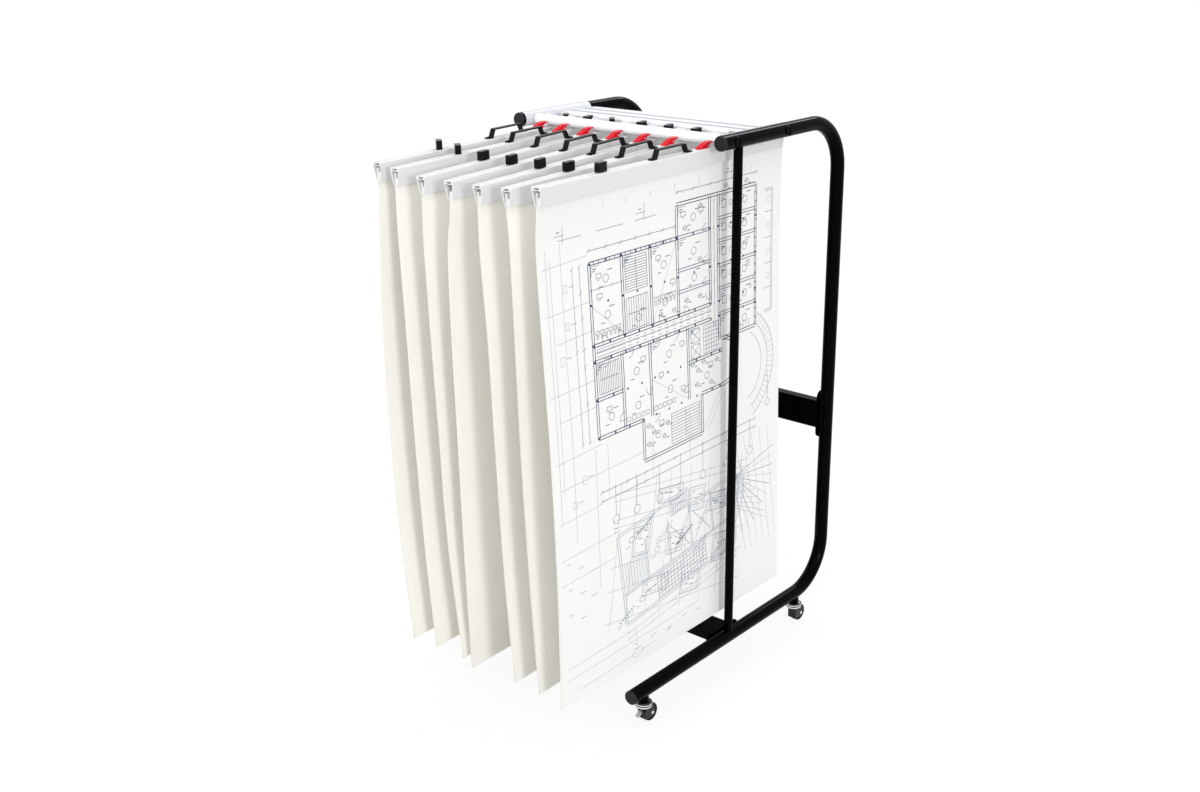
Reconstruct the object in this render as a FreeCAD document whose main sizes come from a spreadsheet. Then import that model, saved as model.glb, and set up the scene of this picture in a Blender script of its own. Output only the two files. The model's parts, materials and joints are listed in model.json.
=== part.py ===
import FreeCAD, Part
import math
import os
import Sketcher

# A mobile hanging rack for large drawings. Two bent tube side frames on castors carry a round
# front beam and a ribbed rear rail. Seven long clamps hook over the beam, run under the rail and
# each hold a pack of drawing sheets. +X is to the right, -Y is the front, +Z is up. The origin is
# on the floor, in the middle of the width and of the depth. Every length is in millimetres.

SIZES = [
    # side frames
    ("frame_spacing", 620.0),
    ("tube_size", 35.0),
    ("tube_wall", 1.5),
    ("bend_radius", 125.0),
    ("arm_height", 1346.0),
    ("foot_height", 89.0),
    ("arm_front", 10.5),
    ("foot_front", -309.5),
    ("rear_tube_at", 503.0),
    ("post_at", 76.0),
    ("post_size", 22.0),
    ("post_wall", 1.5),
    # front beam, arm liners and rear rail
    ("beam_at", 52.5),
    ("beam_size", 25.0),
    ("beam_wall", 1.5),
    ("liner_front", 16.5),
    ("liner_length", 244.0),
    ("liner_wall", 1.5),
    ("liner_gap", 0.15),
    ("liner_post_gap", 0.3),
    ("rail_at", 208.0),
    ("rail_width", 136.0),
    ("rail_drop", 4.8),
    ("rail_thick", 6.5),
    ("rib_rise", 3.5),
    ("rib_width", 41.0),
    ("rib_pitch", 46.0),
    # crossbars and their end flanges
    ("bar_width", 75.0),
    ("bar_thick", 25.0),
    ("bar_wall", 2.0),
    ("mid_bar_height", 564.5),
    ("flange_length", 130.0),
    ("flange_width", 34.0),
    ("flange_thick", 4.0),
    ("flange_bolt_spread", 106.0),
    ("bolt_shank", 8.0),
    ("bolt_gap", 0.2),
    ("bolt_head", 13.0),
    ("bolt_head_rise", 4.0),
    # saddle bolts on the outside of the arms
    ("saddle_size", 24.0),
    ("saddle_rise", 2.0),
    ("saddle_dish", 14.0),
    ("saddle_dish_depth", 1.2),
    ("rear_saddle_at", 252.5),
    # end caps
    ("cap_plug", 20.0),
    ("cap_gap", 0.1),
    ("cap_rim", 2.0),
    ("cap_dome", 3.0),
    # castors
    ("front_castor_at", -264.5),
    ("rear_castor_at", 378.5),
    ("socket_size", 26.0),
    ("socket_depth", 12.0),
    ("stem_size", 10.0),
    ("stem_gap", 0.2),
    ("race_size", 41.0),
    ("race_height", 4.5),
    ("race_groove", 1.2),
    ("race_gap", 0.4),
    ("hood_plate", 2.0),
    ("wheel_size", 45.0),
    ("wheel_width", 18.0),
    ("wheel_trail", 20.0),
    ("wheel_edge", 3.0),
    ("wheel_gap", 1.0),
    ("hub_size", 18.0),
    ("hub_gap", 0.4),
    ("axle_size", 8.0),
    ("axle_gap", 0.1),
    ("hood_wall", 2.5),
    ("hood_skirt", 14.0),
    # brake levers of the front castors
    ("lever_width", 11.0),
    ("lever_length", 18.0),
    ("lever_thick", 2.0),
    ("lever_barrel", 6.0),
    ("lever_pin", 3.0),
    ("lever_gap", 0.2),
    ("lever_height", 35.0),
    # clamps
    ("clamp_pitch", 82.5),
    ("clamp_length", 831.0),
    ("clamp_reach", 573.0),
    ("clamp_width", 28.0),
    ("clamp_height", 39.0),
    ("clamp_drop", 15.0),
    ("clamp_wall", 1.8),
    ("clamp_edge", 1.6),
    ("slot_width", 15.0),
    ("slot_height", 4.0),
    ("face_lean", 5.0),
    ("leg_wall", 2.2),
    ("grip_pad", 6.0),
    ("grip_pad_height", 17.0),
    # hooks of the clamps over the beam
    ("hook_width", 20.0),
    ("hook_thick", 3.0),
    ("hook_gap", 0.6),
    ("hook_foot", 24.0),
    ("hook_wrap", 78.0),
    # carrying handles on the clamps
    ("handle_at", -155.5),
    ("handle_span", 138.0),
    ("handle_base", 111.0),
    ("handle_top", 94.0),
    ("handle_rise", 21.5),
    ("handle_width", 13.0),
    ("handle_strap", 3.0),
    ("rivet_head", 7.0),
    ("rivet_rise", 1.6),
    ("rivet_shank", 4.0),
    # turn knobs
    ("front_knob_at", -382.0),
    ("rear_knob_at", 66.0),
    ("knob_length", 28.0),
    ("knob_width", 14.0),
    ("knob_height", 20.0),
    ("knob_edge", 2.5),
    ("knob_collar", 12.0),
    ("knob_collar_rise", 1.2),
    ("knob_seat_gap", 0.2),
    ("knob_shank", 6.0),
    ("knob_shank_gap", 0.1),
    ("knob_shank_reach", 11.0),
    # red catches
    ("catch_pin_at", -30.0),
    ("catch_pin_rise", 5.5),
    ("catch_pin", 3.0),
    ("catch_pin_gap", 0.1),
    ("catch_width", 14.0),
    ("catch_nose", 31.0),
    ("catch_gap", 0.5),
    ("catch_tail_rise", 7.8),
    ("catch_tail_thick", 2.4),
    ("catch_lug", 4.0),
    ("catch_lug_gap", 0.3),
    ("catch_lug_size", 8.0),
    # packs of plans
    ("plan_width", 841.0),
    ("plan_length", 1176.0),
    ("plan_pack", 4.0),
    ("plan_grip", 27.0),
    ("plan_inset", 1.0),
    ("plan_gap", 0.3),
]

# How far each clamp hangs from its even place along the beam, in millimetres, from left to right.
SHIFTS = [-2.4, -12.9, -16.5, -6.1, -5.4, -5.6, 11.7]
# How far each clamp is turned on the beam, seen from above, and how far it droops towards its
# front, in degrees, from left to right.
TURNS = [1.8, 0.3, 0.7, 0.0, 0.3, 0.4, -1.1]
DROOPS = [0.9, 1.5, 2.4, 2.4, 2.3, 1.9, 0.7]
# How far each knob is turned from square with its clamp, in degrees, from left to right.
FRONT_KNOB_TURNS = [50.0, 51.0, 0.0, 2.0, 6.0, 0.0, 3.0]
REAR_KNOB_TURNS = [48.0, 8.0, 41.0, 4.0, 10.0, 0.0, 30.0]
# How far each pack's front and rear edges hang to the right of its jaw, in millimetres, from left
# to right. Each pack has one value for each share of its free length.
HANG_SHARES = [0.08, 0.26, 0.47, 0.73, 1.0]
FRONT_HANGS = [
    [-5.0, -20.0, -26.0, -21.0, 2.0],
    [-4.0, -4.0, -5.0, -2.0, 11.0],
    [-7.0, -11.0, -13.0, -15.0, 3.0],
    [-18.0, -30.0, -38.0, -48.0, -55.0],
    [-4.0, 1.0, 0.0, 0.0, 9.0],
    [3.0, 2.0, 0.0, 4.0, 13.0],
    [-6.0, 3.0, 15.0, 22.0, 21.0],
]
REAR_HANGS = [
    [-3.0, -8.0, -12.0, -12.0, -4.0],
    [-2.0, -6.0, -9.0, -8.0, -4.0],
    [-2.0, -4.0, -6.0, -5.0, -1.0],
    [-5.0, -9.0, -12.0, -14.0, -18.0],
    [-2.0, -3.0, -5.0, -4.0, 0.0],
    [0.0, 2.0, 3.0, 1.0, 2.0],
    [-2.0, -1.0, 4.0, 9.0, 14.0],
]
# How far each pack has slipped down in its jaw, in millimetres, from left to right.
SLIPS = [0.0, 0.0, 3.0, 20.0, 3.0, 0.0, 0.0]

RIB_COUNT = 3
RIB_TOP_SHARE = 0.86
LEVER_SLOPE = 35.0
# How much of the hub's radius the fork's cheek reaches below the axle at its rear.
CHEEK_CHAMFER = 0.5
# Corners of the catch's outline, as shares of its depth under the pin, its tail and its nose.
CATCH_HEEL = (0.73, 0.65)
CATCH_BACK = 0.98
CATCH_TAIL_ROOT = 0.45
CATCH_TAIL_CREST = 0.3
CATCH_BROW = (0.2, 0.8)
CATCH_BRIDGE = (0.6, 0.1)
CATCH_TIP = 0.95
# Small lengths in millimetres: how far a cutting tool passes its target, the extra depth and
# rise of the catch's tail, the thickness of its tip, and how close an edge counts as level.
CUT_MARGIN = 1.0
TAIL_UNDERCUT = 1.0
TAIL_CREST_RISE = 0.4
TIP_THICK = 1.6
LEVEL = 1e-6
X_AXIS = FreeCAD.Vector(1, 0, 0)
Z_AXIS = FreeCAD.Vector(0, 0, 1)
ALONG_X = FreeCAD.Rotation(FreeCAD.Vector(1, 1, 1), 120)
UPRIGHT = FreeCAD.Rotation()
SIDES = {"left": -1, "right": 1}


class Size:
    """A length that knows its value and the sheet expression that it comes from."""

    def __init__(self, value, text):
        self.value = value
        self.text = text

    def combine(self, other, sign, value):
        return Size(value, f"({self.text} {sign} {as_size(other).text})")

    def __add__(self, other):
        return self.combine(other, "+", self.value + as_size(other).value)

    def __sub__(self, other):
        return self.combine(other, "-", self.value - as_size(other).value)

    def __mul__(self, other):
        return self.combine(other, "*", self.value * as_size(other).value)

    def __truediv__(self, other):
        return self.combine(other, "/", self.value / as_size(other).value)

    def __radd__(self, other):
        return as_size(other) + self

    def __rsub__(self, other):
        return as_size(other) - self

    def __rmul__(self, other):
        return as_size(other) * self

    def __neg__(self):
        return as_size(0.0) - self


def as_size(number):
    """A Size as it is, or a plain number as a Size."""
    if isinstance(number, Size):
        return number
    return Size(float(number), f"({float(number)})")


def fill_sheet(document):
    """Write the driving dimensions to the spreadsheet, one alias each."""
    sheet = document.addObject("Spreadsheet::Sheet", "Sizes")
    for row, (alias, value) in enumerate(SIZES, start=1):
        sheet.set(f"A{row}", alias)
        sheet.set(f"B{row}", str(value))
        sheet.setAlias(f"B{row}", alias)
    document.recompute()
    return {alias: Size(value, f"Sizes.{alias}") for alias, value in SIZES}


doc = FreeCAD.newDocument("PlanHangingRack")
D = fill_sheet(doc)


# ---- shared building steps ----


def bind(thing, prop, size):
    """Tie one property of an object to the sheet."""
    size = as_size(size)
    thing.setExpression(prop, size.text)


def new_body(label):
    body = doc.addObject("PartDesign::Body", label)
    body.Label = label
    return body


def sketch_on(body, name, role, offset=0.0):
    """A sketch on one of the body's own origin planes, moved along the plane's normal."""
    sketch = body.newObject("Sketcher::SketchObject", name)
    plane = next(f for f in body.Origin.OriginFeatures if f.Role == role)
    sketch.AttachmentSupport = [(plane, "")]
    sketch.MapMode = "FlatFace"
    bind(sketch, "AttachmentOffset.Base.z", offset)
    return sketch


def pin_point(sketch, geometry, point, x, y):
    """Fix one point of a sketch at x, y from the sketch's origin."""
    for kind, size in (("DistanceX", as_size(x)), ("DistanceY", as_size(y))):
        index = sketch.addConstraint(
            Sketcher.Constraint(kind, -1, 1, geometry, point, size.value)
        )
        bind(sketch, f"Constraints[{index}]", size)


def outline(sketch, corners):
    """A closed outline of straight lines through the corners."""
    first = sketch.GeometryCount
    count = len(corners)
    spots = [FreeCAD.Vector(as_size(x).value, as_size(y).value, 0) for x, y in corners]
    for i in range(count):
        sketch.addGeometry(Part.LineSegment(spots[i], spots[(i + 1) % count]), False)
    for i, (x, y) in enumerate(corners):
        previous = first + (i - 1) % count
        sketch.addConstraint(Sketcher.Constraint("Coincident", previous, 2, first + i, 1))
        pin_point(sketch, first + i, 1, x, y)


def rectangle(sketch, left, right, bottom, top):
    outline(sketch, [(left, bottom), (right, bottom), (right, top), (left, top)])


def circle(sketch, x, y, radius):
    radius = as_size(radius)
    spot = FreeCAD.Vector(as_size(x).value, as_size(y).value, 0)
    index = sketch.addGeometry(Part.Circle(spot, Z_AXIS, radius.value), False)
    pin_point(sketch, index, 3, x, y)
    bound = sketch.addConstraint(Sketcher.Constraint("Radius", index, radius.value))
    bind(sketch, f"Constraints[{bound}]", radius)


def pad(body, sketch, length, symmetric=False, reverse=False):
    feature = body.newObject("PartDesign::Pad", sketch.Name + "Pad")
    feature.Profile = sketch
    bind(feature, "Length", length)
    feature.Midplane = symmetric
    feature.Reversed = reverse
    return feature


def pocket(body, sketch, length, symmetric=False, reverse=False):
    feature = body.newObject("PartDesign::Pocket", sketch.Name + "Pocket")
    feature.Profile = sketch
    bind(feature, "Length", length)
    feature.Midplane = symmetric
    feature.Reversed = reverse
    return feature


def block(body, name, corner, lengths, kind="Additive"):
    """A box feature from its lowest corner and its three lengths."""
    feature = body.newObject(f"PartDesign::{kind}Box", name)
    for prop, size in zip(("Length", "Width", "Height"), lengths):
        bind(feature, prop, size)
    for axis, size in zip("xyz", corner):
        bind(feature, f"Placement.Base.{axis}", size)
    return feature


def rod(body, name, base, radius, length, turn=UPRIGHT, angle=360.0, kind="Additive"):
    """A cylinder feature from the centre of its base, upright or along X."""
    feature = body.newObject(f"PartDesign::{kind}Cylinder", name)
    feature.Placement = FreeCAD.Placement(FreeCAD.Vector(), turn)
    bind(feature, "Radius", radius)
    bind(feature, "Height", length)
    bind(feature, "Angle", angle)
    for axis, size in zip("xyz", base):
        bind(feature, f"Placement.Base.{axis}", size)
    return feature


def round_edges(body, name, radius, test):
    """A fillet on every edge of the body's last feature that passes the test."""
    doc.recompute()
    base = body.Tip
    names = [f"Edge{i}" for i, edge in enumerate(base.Shape.Edges, 1) if test(edge)]
    fillet = body.newObject("PartDesign::Fillet", name)
    fillet.Base = (base, names)
    bind(fillet, "Radius", radius)
    return fillet


def runs_along(edge, axis):
    """Whether an edge is a straight line along the axis."""
    if not isinstance(edge.Curve, Part.Line):
        return False
    return abs(abs(edge.Curve.Direction.dot(axis)) - 1) < LEVEL


def group(label, pieces):
    """Separate solids of one kind, kept together."""
    compound = doc.addObject("Part::Compound", label)
    compound.Label = label
    compound.Links = pieces
    return compound


def free_cylinder(name, place, radius, length):
    cylinder = doc.addObject("Part::Cylinder", name)
    bind(cylinder, "Radius", radius)
    bind(cylinder, "Height", length)
    cylinder.Placement = place
    return cylinder


def joined(name, pieces):
    fuse = doc.addObject("Part::MultiFuse", name)
    fuse.Shapes = pieces
    return fuse


def cut_from(name, base, tool):
    cut = doc.addObject("Part::Cut", name)
    cut.Base = base
    cut.Tool = tool
    return cut


# ---- places that several pieces share ----

TUBE_RADIUS = D["tube_size"] / 2
TUBE_BORE = TUBE_RADIUS - D["tube_wall"]
FRAME_X = D["frame_spacing"] / 2
INNER_FACE = FRAME_X - TUBE_RADIUS
LINER_FACE = INNER_FACE - D["liner_wall"]
FLANGE_FACE = INNER_FACE - D["flange_thick"]
BOLT_HOLE = D["bolt_shank"] / 2 + D["bolt_gap"]
HALF_SPREAD = D["flange_bolt_spread"] / 2
STEM_RADIUS = D["stem_size"] / 2
AXLE_HEIGHT = D["wheel_size"] / 2
HOOD_BOTTOM = D["wheel_size"] + D["wheel_gap"]
HOOD_TOP = HOOD_BOTTOM + D["hood_plate"]
RACE_TOP = HOOD_TOP + 2 * D["race_height"] + D["race_groove"]
SOCKET_BOTTOM = RACE_TOP + D["race_gap"]
CLAMP_TOP = -D["clamp_drop"]
CLAMP_FRONT = -D["clamp_reach"]
CLAMP_REAR = D["clamp_length"] - D["clamp_reach"]
BEAM_RADIUS = D["beam_size"] / 2
PIN_HEIGHT = CLAMP_TOP + D["catch_pin_rise"]
GRIP_FACE = D["clamp_width"] / 2 - D["face_lean"] - D["leg_wall"] - D["grip_pad"]
PLAN_RIGHT = GRIP_FACE - D["plan_gap"]
PLAN_LEFT = PLAN_RIGHT - D["plan_pack"]
JAW_TIP = PLAN_LEFT - D["plan_gap"]
CLAMP_COUNT = len(DROOPS)


def place(x, y, z, turn=UPRIGHT):
    return FreeCAD.Placement(FreeCAD.Vector(*(as_size(v).value for v in (x, y, z))), turn)


def clamp_place(index):
    """Where a clamp hangs: its own frame starts on the beam's axis, with Y along the clamp."""
    x = D["clamp_pitch"] * (index - (CLAMP_COUNT - 1) / 2) + SHIFTS[index]
    turn = FreeCAD.Rotation(Z_AXIS, TURNS[index])
    droop = FreeCAD.Rotation(X_AXIS, DROOPS[index])
    return place(x, D["beam_at"], D["arm_height"], turn * droop)


# ---- side frames ----


def frame_path(body, name):
    """The centre line of the bent tube, from the arm's front end to the foot's front end."""
    sketch = sketch_on(body, name, "YZ_Plane")
    rear = D["rear_tube_at"]
    radius = D["bend_radius"]
    high = D["arm_height"]
    low = D["foot_height"]
    bend_at = (rear - radius).value
    arm_start = FreeCAD.Vector(D["arm_front"].value, high.value, 0)
    arm_end = FreeCAD.Vector(bend_at, high.value, 0)
    rear_start = FreeCAD.Vector(rear.value, (high - radius).value, 0)
    rear_end = FreeCAD.Vector(rear.value, (low + radius).value, 0)
    foot_start = FreeCAD.Vector(bend_at, low.value, 0)
    foot_end = FreeCAD.Vector(D["foot_front"].value, low.value, 0)
    arm = sketch.addGeometry(Part.LineSegment(arm_start, arm_end), False)
    upper_circle = Part.Circle(FreeCAD.Vector(bend_at, rear_start.y, 0), Z_AXIS, radius.value)
    upper = sketch.addGeometry(Part.ArcOfCircle(upper_circle, 0, math.pi / 2), False)
    back = sketch.addGeometry(Part.LineSegment(rear_start, rear_end), False)
    lower_circle = Part.Circle(FreeCAD.Vector(bend_at, rear_end.y, 0), Z_AXIS, radius.value)
    lower = sketch.addGeometry(Part.ArcOfCircle(lower_circle, -math.pi / 2, 0), False)
    foot = sketch.addGeometry(Part.LineSegment(foot_start, foot_end), False)
    pin_point(sketch, arm, 1, D["arm_front"], high)
    sketch.addConstraint(Sketcher.Constraint("Horizontal", arm))
    sketch.addConstraint(Sketcher.Constraint("Vertical", back))
    sketch.addConstraint(Sketcher.Constraint("Horizontal", foot))
    sketch.addConstraint(Sketcher.Constraint("Tangent", arm, 2, upper, 2))
    sketch.addConstraint(Sketcher.Constraint("Tangent", upper, 1, back, 1))
    sketch.addConstraint(Sketcher.Constraint("Tangent", back, 2, lower, 2))
    sketch.addConstraint(Sketcher.Constraint("Tangent", lower, 1, foot, 1))
    for arc in (upper, lower):
        bound = sketch.addConstraint(Sketcher.Constraint("Radius", arc, radius.value))
        bind(sketch, f"Constraints[{bound}]", radius)
    index = sketch.addConstraint(
        Sketcher.Constraint("DistanceX", -1, 1, back, 1, rear.value)
    )
    bind(sketch, f"Constraints[{index}]", rear)
    pin_point(sketch, foot, 2, D["foot_front"], low)
    return sketch


def tube_run(body, name, kind, radius):
    """The bent tube's outside or its bore, along the centre line."""
    path = frame_path(body, name + "Path")
    ring = sketch_on(body, name + "Ring", "XZ_Plane", -D["arm_front"])
    circle(ring, 0, D["arm_height"], radius)
    run = body.newObject(f"PartDesign::{kind}Pipe", name)
    run.Profile = ring
    run.Spine = (path, [])
    return run


def side_frame(side):
    """One bent tube with its welded post and two castor sockets."""
    body = new_body(f"{side}_side_frame")
    inward = -SIDES[side]
    ring = sketch_on(body, "PostRing", "XY_Plane", D["foot_height"])
    circle(ring, 0, D["post_at"], D["post_size"] / 2)
    circle(ring, 0, D["post_at"], D["post_size"] / 2 - D["post_wall"])
    pad(body, ring, D["arm_height"] - D["foot_height"])
    for name in ("front", "rear"):
        base = (0, D[f"{name}_castor_at"], SOCKET_BOTTOM)
        rod(body, name.title() + "Socket", base, D["socket_size"] / 2,
            D["foot_height"] - SOCKET_BOTTOM)
    tube_run(body, "TubeOutside", "Additive", TUBE_RADIUS)
    tube_run(body, "TubeBore", "Subtractive", TUBE_BORE)
    for name in ("front", "rear"):
        base = (0, D[f"{name}_castor_at"], SOCKET_BOTTOM)
        rod(body, name.title() + "StemHole", base, STEM_RADIUS + D["stem_gap"],
            D["socket_depth"], kind="Subtractive")
    holes = sketch_on(body, "FlangeBoltHoles", "YZ_Plane")
    for sign in (-1, 1):
        circle(holes, D["rear_tube_at"], D["mid_bar_height"] + sign * HALF_SPREAD, BOLT_HOLE)
        circle(holes, D["post_at"] + sign * HALF_SPREAD, D["foot_height"], BOLT_HOLE)
    pocket(body, holes, D["tube_size"], reverse=inward > 0)
    outer = sketch_on(body, "SaddleBoltHoles", "YZ_Plane")
    for spot in ("beam_at", "rear_saddle_at"):
        circle(outer, D[spot], D["arm_height"], BOLT_HOLE)
    pocket(body, outer, D["tube_size"], reverse=inward < 0)
    body.Placement = place(SIDES[side] * FRAME_X, 0, 0)
    return body


# ---- front beam with the arm liners, and rear rail ----


def front_beam():
    """The round beam that the clamps hook over, and the half shells that line the arms."""
    beam = new_body("beam_tube")
    ring = sketch_on(beam, "BeamRing", "YZ_Plane")
    circle(ring, 0, 0, BEAM_RADIUS)
    circle(ring, 0, 0, BEAM_RADIUS - D["beam_wall"])
    pad(beam, ring, 2 * LINER_FACE, symmetric=True)
    beam.Placement = place(0, D["beam_at"], D["arm_height"])
    pieces = [beam]
    for side, sign in SIDES.items():
        liner = new_body(f"{side}_liner")
        start = (0, 0, 0)
        rod(liner, "Shell", start, TUBE_RADIUS + D["liner_wall"], D["liner_length"], angle=180.0)
        rod(liner, "Seat", start, TUBE_RADIUS + D["liner_gap"], D["liner_length"],
            kind="Subtractive")
        reach = TUBE_RADIUS + D["liner_wall"]
        below = 0 if sign > 0 else -reach
        rod(liner, "PostNotch", (below, 0, D["post_at"] - D["liner_front"]),
            D["post_size"] / 2 + D["liner_post_gap"], reach, ALONG_X, kind="Subtractive")
        lay_down = FreeCAD.Rotation(X_AXIS, -90)
        half_turn = FreeCAD.Rotation(Z_AXIS, 90 * sign)
        liner.Placement = place(sign * FRAME_X, D["liner_front"], D["arm_height"],
                                lay_down * half_turn)
        pieces.append(liner)
    return group("front_beam", pieces)


def rear_rail():
    """The flat rail over the clamps' tails, with broad ribs along its top."""
    body = new_body("rear_rail")
    profile = sketch_on(body, "RailProfile", "YZ_Plane")
    half = D["rail_width"] / 2
    top = D["rail_thick"]
    corners = [(-half, 0), (half, 0), (half, top)]
    for rib in reversed(range(RIB_COUNT)):
        middle = D["rib_pitch"] * (rib - (RIB_COUNT - 1) / 2)
        for reach, rise in ((1, 0), (RIB_TOP_SHARE, 1), (-RIB_TOP_SHARE, 1), (-1, 0)):
            corners.append((middle + reach * D["rib_width"] / 2, top + rise * D["rib_rise"]))
    corners.append((-half, top))
    outline(profile, corners)
    pad(body, profile, 2 * LINER_FACE, symmetric=True)
    body.Placement = place(0, D["rail_at"], D["arm_height"] - D["rail_drop"])
    return body


# ---- crossbars ----


def crossbar(label, y, z, lies_flat):
    """A box section between the frames, with a bolted flange on each end."""
    body = new_body(label)
    wide = D["bar_width"] / 2
    thin = D["bar_thick"] / 2
    half_y, half_z = (wide, thin) if lies_flat else (thin, wide)
    profile = sketch_on(body, "BarProfile", "YZ_Plane")
    rectangle(profile, -half_y, half_y, -half_z, half_z)
    wall = D["bar_wall"]
    rectangle(profile, wall - half_y, half_y - wall, wall - half_z, half_z - wall)
    pad(body, profile, 2 * FLANGE_FACE, symmetric=True)
    end = D["flange_width"] / 2
    run = D["flange_length"] / 2 - end
    for name, start in (("Left", -INNER_FACE), ("Right", FLANGE_FACE)):
        centres = [(-run, 0), (run, 0)] if lies_flat else [(0, -run), (0, run)]
        low_y, low_z = (-run, -end) if lies_flat else (-end, -run)
        long_y, long_z = (2 * run, 2 * end) if lies_flat else (2 * end, 2 * run)
        block(body, name + "Flange", (start, low_y, low_z), (D["flange_thick"], long_y, long_z))
        for number, (at_y, at_z) in enumerate(centres):
            rod(body, f"{name}FlangeEnd{number}", (start, at_y, at_z), end,
                D["flange_thick"], ALONG_X)
    holes = sketch_on(body, "BoltHoles", "YZ_Plane")
    for sign in (-1, 1):
        spot = (sign * HALF_SPREAD, 0) if lies_flat else (0, sign * HALF_SPREAD)
        circle(holes, spot[0], spot[1], BOLT_HOLE)
    pocket(body, holes, D["frame_spacing"], symmetric=True)
    body.Placement = place(0, y, z)
    return body


# ---- end caps and bolts ----


def end_caps():
    """Domed plugs in the front ends of both arms and both feet."""
    pieces = []
    for side, sign in SIDES.items():
        for name in ("arm", "foot"):
            cap = new_body(f"{side}_{name}_cap")
            rod(cap, "Plug", (0, 0, 0), TUBE_BORE - D["cap_gap"], D["cap_plug"])
            rod(cap, "Rim", (0, 0, -D["cap_rim"] - D["cap_dome"]), TUBE_RADIUS,
                D["cap_rim"] + D["cap_dome"])
            front = -(D["cap_rim"] + D["cap_dome"]).value
            round_edges(cap, "Dome", D["cap_dome"],
                        lambda edge: abs(edge.BoundBox.ZMax - front) < LEVEL)
            lay_down = FreeCAD.Rotation(X_AXIS, -90)
            cap.Placement = place(sign * FRAME_X, D[f"{name}_front"], D[f"{name}_height"], lay_down)
            pieces.append(cap)
    return group("end_caps", pieces)


def saddle_bolt(name, sign, y):
    """A dished round head that sits on the outside of an arm, with a short shank."""
    toward = FreeCAD.Rotation(FreeCAD.Vector(0, 1, 0), 90 * sign)
    reach = TUBE_RADIUS + D["saddle_rise"]
    head = free_cylinder(name + "Head", place(sign * FRAME_X, y, D["arm_height"], toward),
                         D["saddle_size"] / 2, reach)
    along = FreeCAD.Rotation(X_AXIS, -90)
    start = as_size(y) - D["saddle_size"]
    tube = free_cylinder(name + "Tube", place(sign * FRAME_X, start, D["arm_height"], along),
                         TUBE_RADIUS, 2 * D["saddle_size"])
    cap = cut_from(name + "Saddle", head, tube)
    floor = sign * (FRAME_X + reach - D["saddle_dish_depth"])
    dish = free_cylinder(name + "Dish", place(floor, y, D["arm_height"], toward),
                         D["saddle_dish"] / 2, D["saddle_dish_depth"])
    dished = cut_from(name + "Dished", cap, dish)
    inside = sign * (FRAME_X + TUBE_BORE - D["tube_wall"])
    shank = free_cylinder(name + "Shank", place(inside, y, D["arm_height"], toward),
                          D["bolt_shank"] / 2, reach - TUBE_BORE + D["tube_wall"]
                          - D["saddle_dish_depth"] / 2)
    return joined(name, [dished, shank])


def flange_bolt(name, sign, y, z):
    """A round-headed bolt through a crossbar flange and the tube's wall."""
    toward = FreeCAD.Rotation(FreeCAD.Vector(0, 1, 0), 90 * sign)
    head_at = sign * (FLANGE_FACE - D["bolt_head_rise"])
    head = free_cylinder(name + "Head", place(head_at, y, z, toward),
                         D["bolt_head"] / 2, D["bolt_head_rise"])
    shank = free_cylinder(name + "Shank", place(head_at, y, z, toward), D["bolt_shank"] / 2,
                          D["bolt_head_rise"] + D["flange_thick"] + 2 * D["tube_wall"])
    return joined(name, [head, shank])


def frame_bolts():
    pieces = []
    for side, sign in SIDES.items():
        pieces.append(saddle_bolt(f"{side}_beam_bolt", sign, D["beam_at"]))
        pieces.append(saddle_bolt(f"{side}_rail_bolt", sign, D["rear_saddle_at"]))
        for end in (-1, 1):
            spread = end * HALF_SPREAD
            word = "low" if end < 0 else "high"
            pieces.append(flange_bolt(f"{side}_mid_{word}_bolt", sign, D["rear_tube_at"],
                                      D["mid_bar_height"] + spread))
            pieces.append(flange_bolt(f"{side}_foot_{word}_bolt", sign, D["post_at"] + spread,
                                      D["foot_height"]))
    return group("frame_bolts", pieces)


# ---- castors ----


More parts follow.
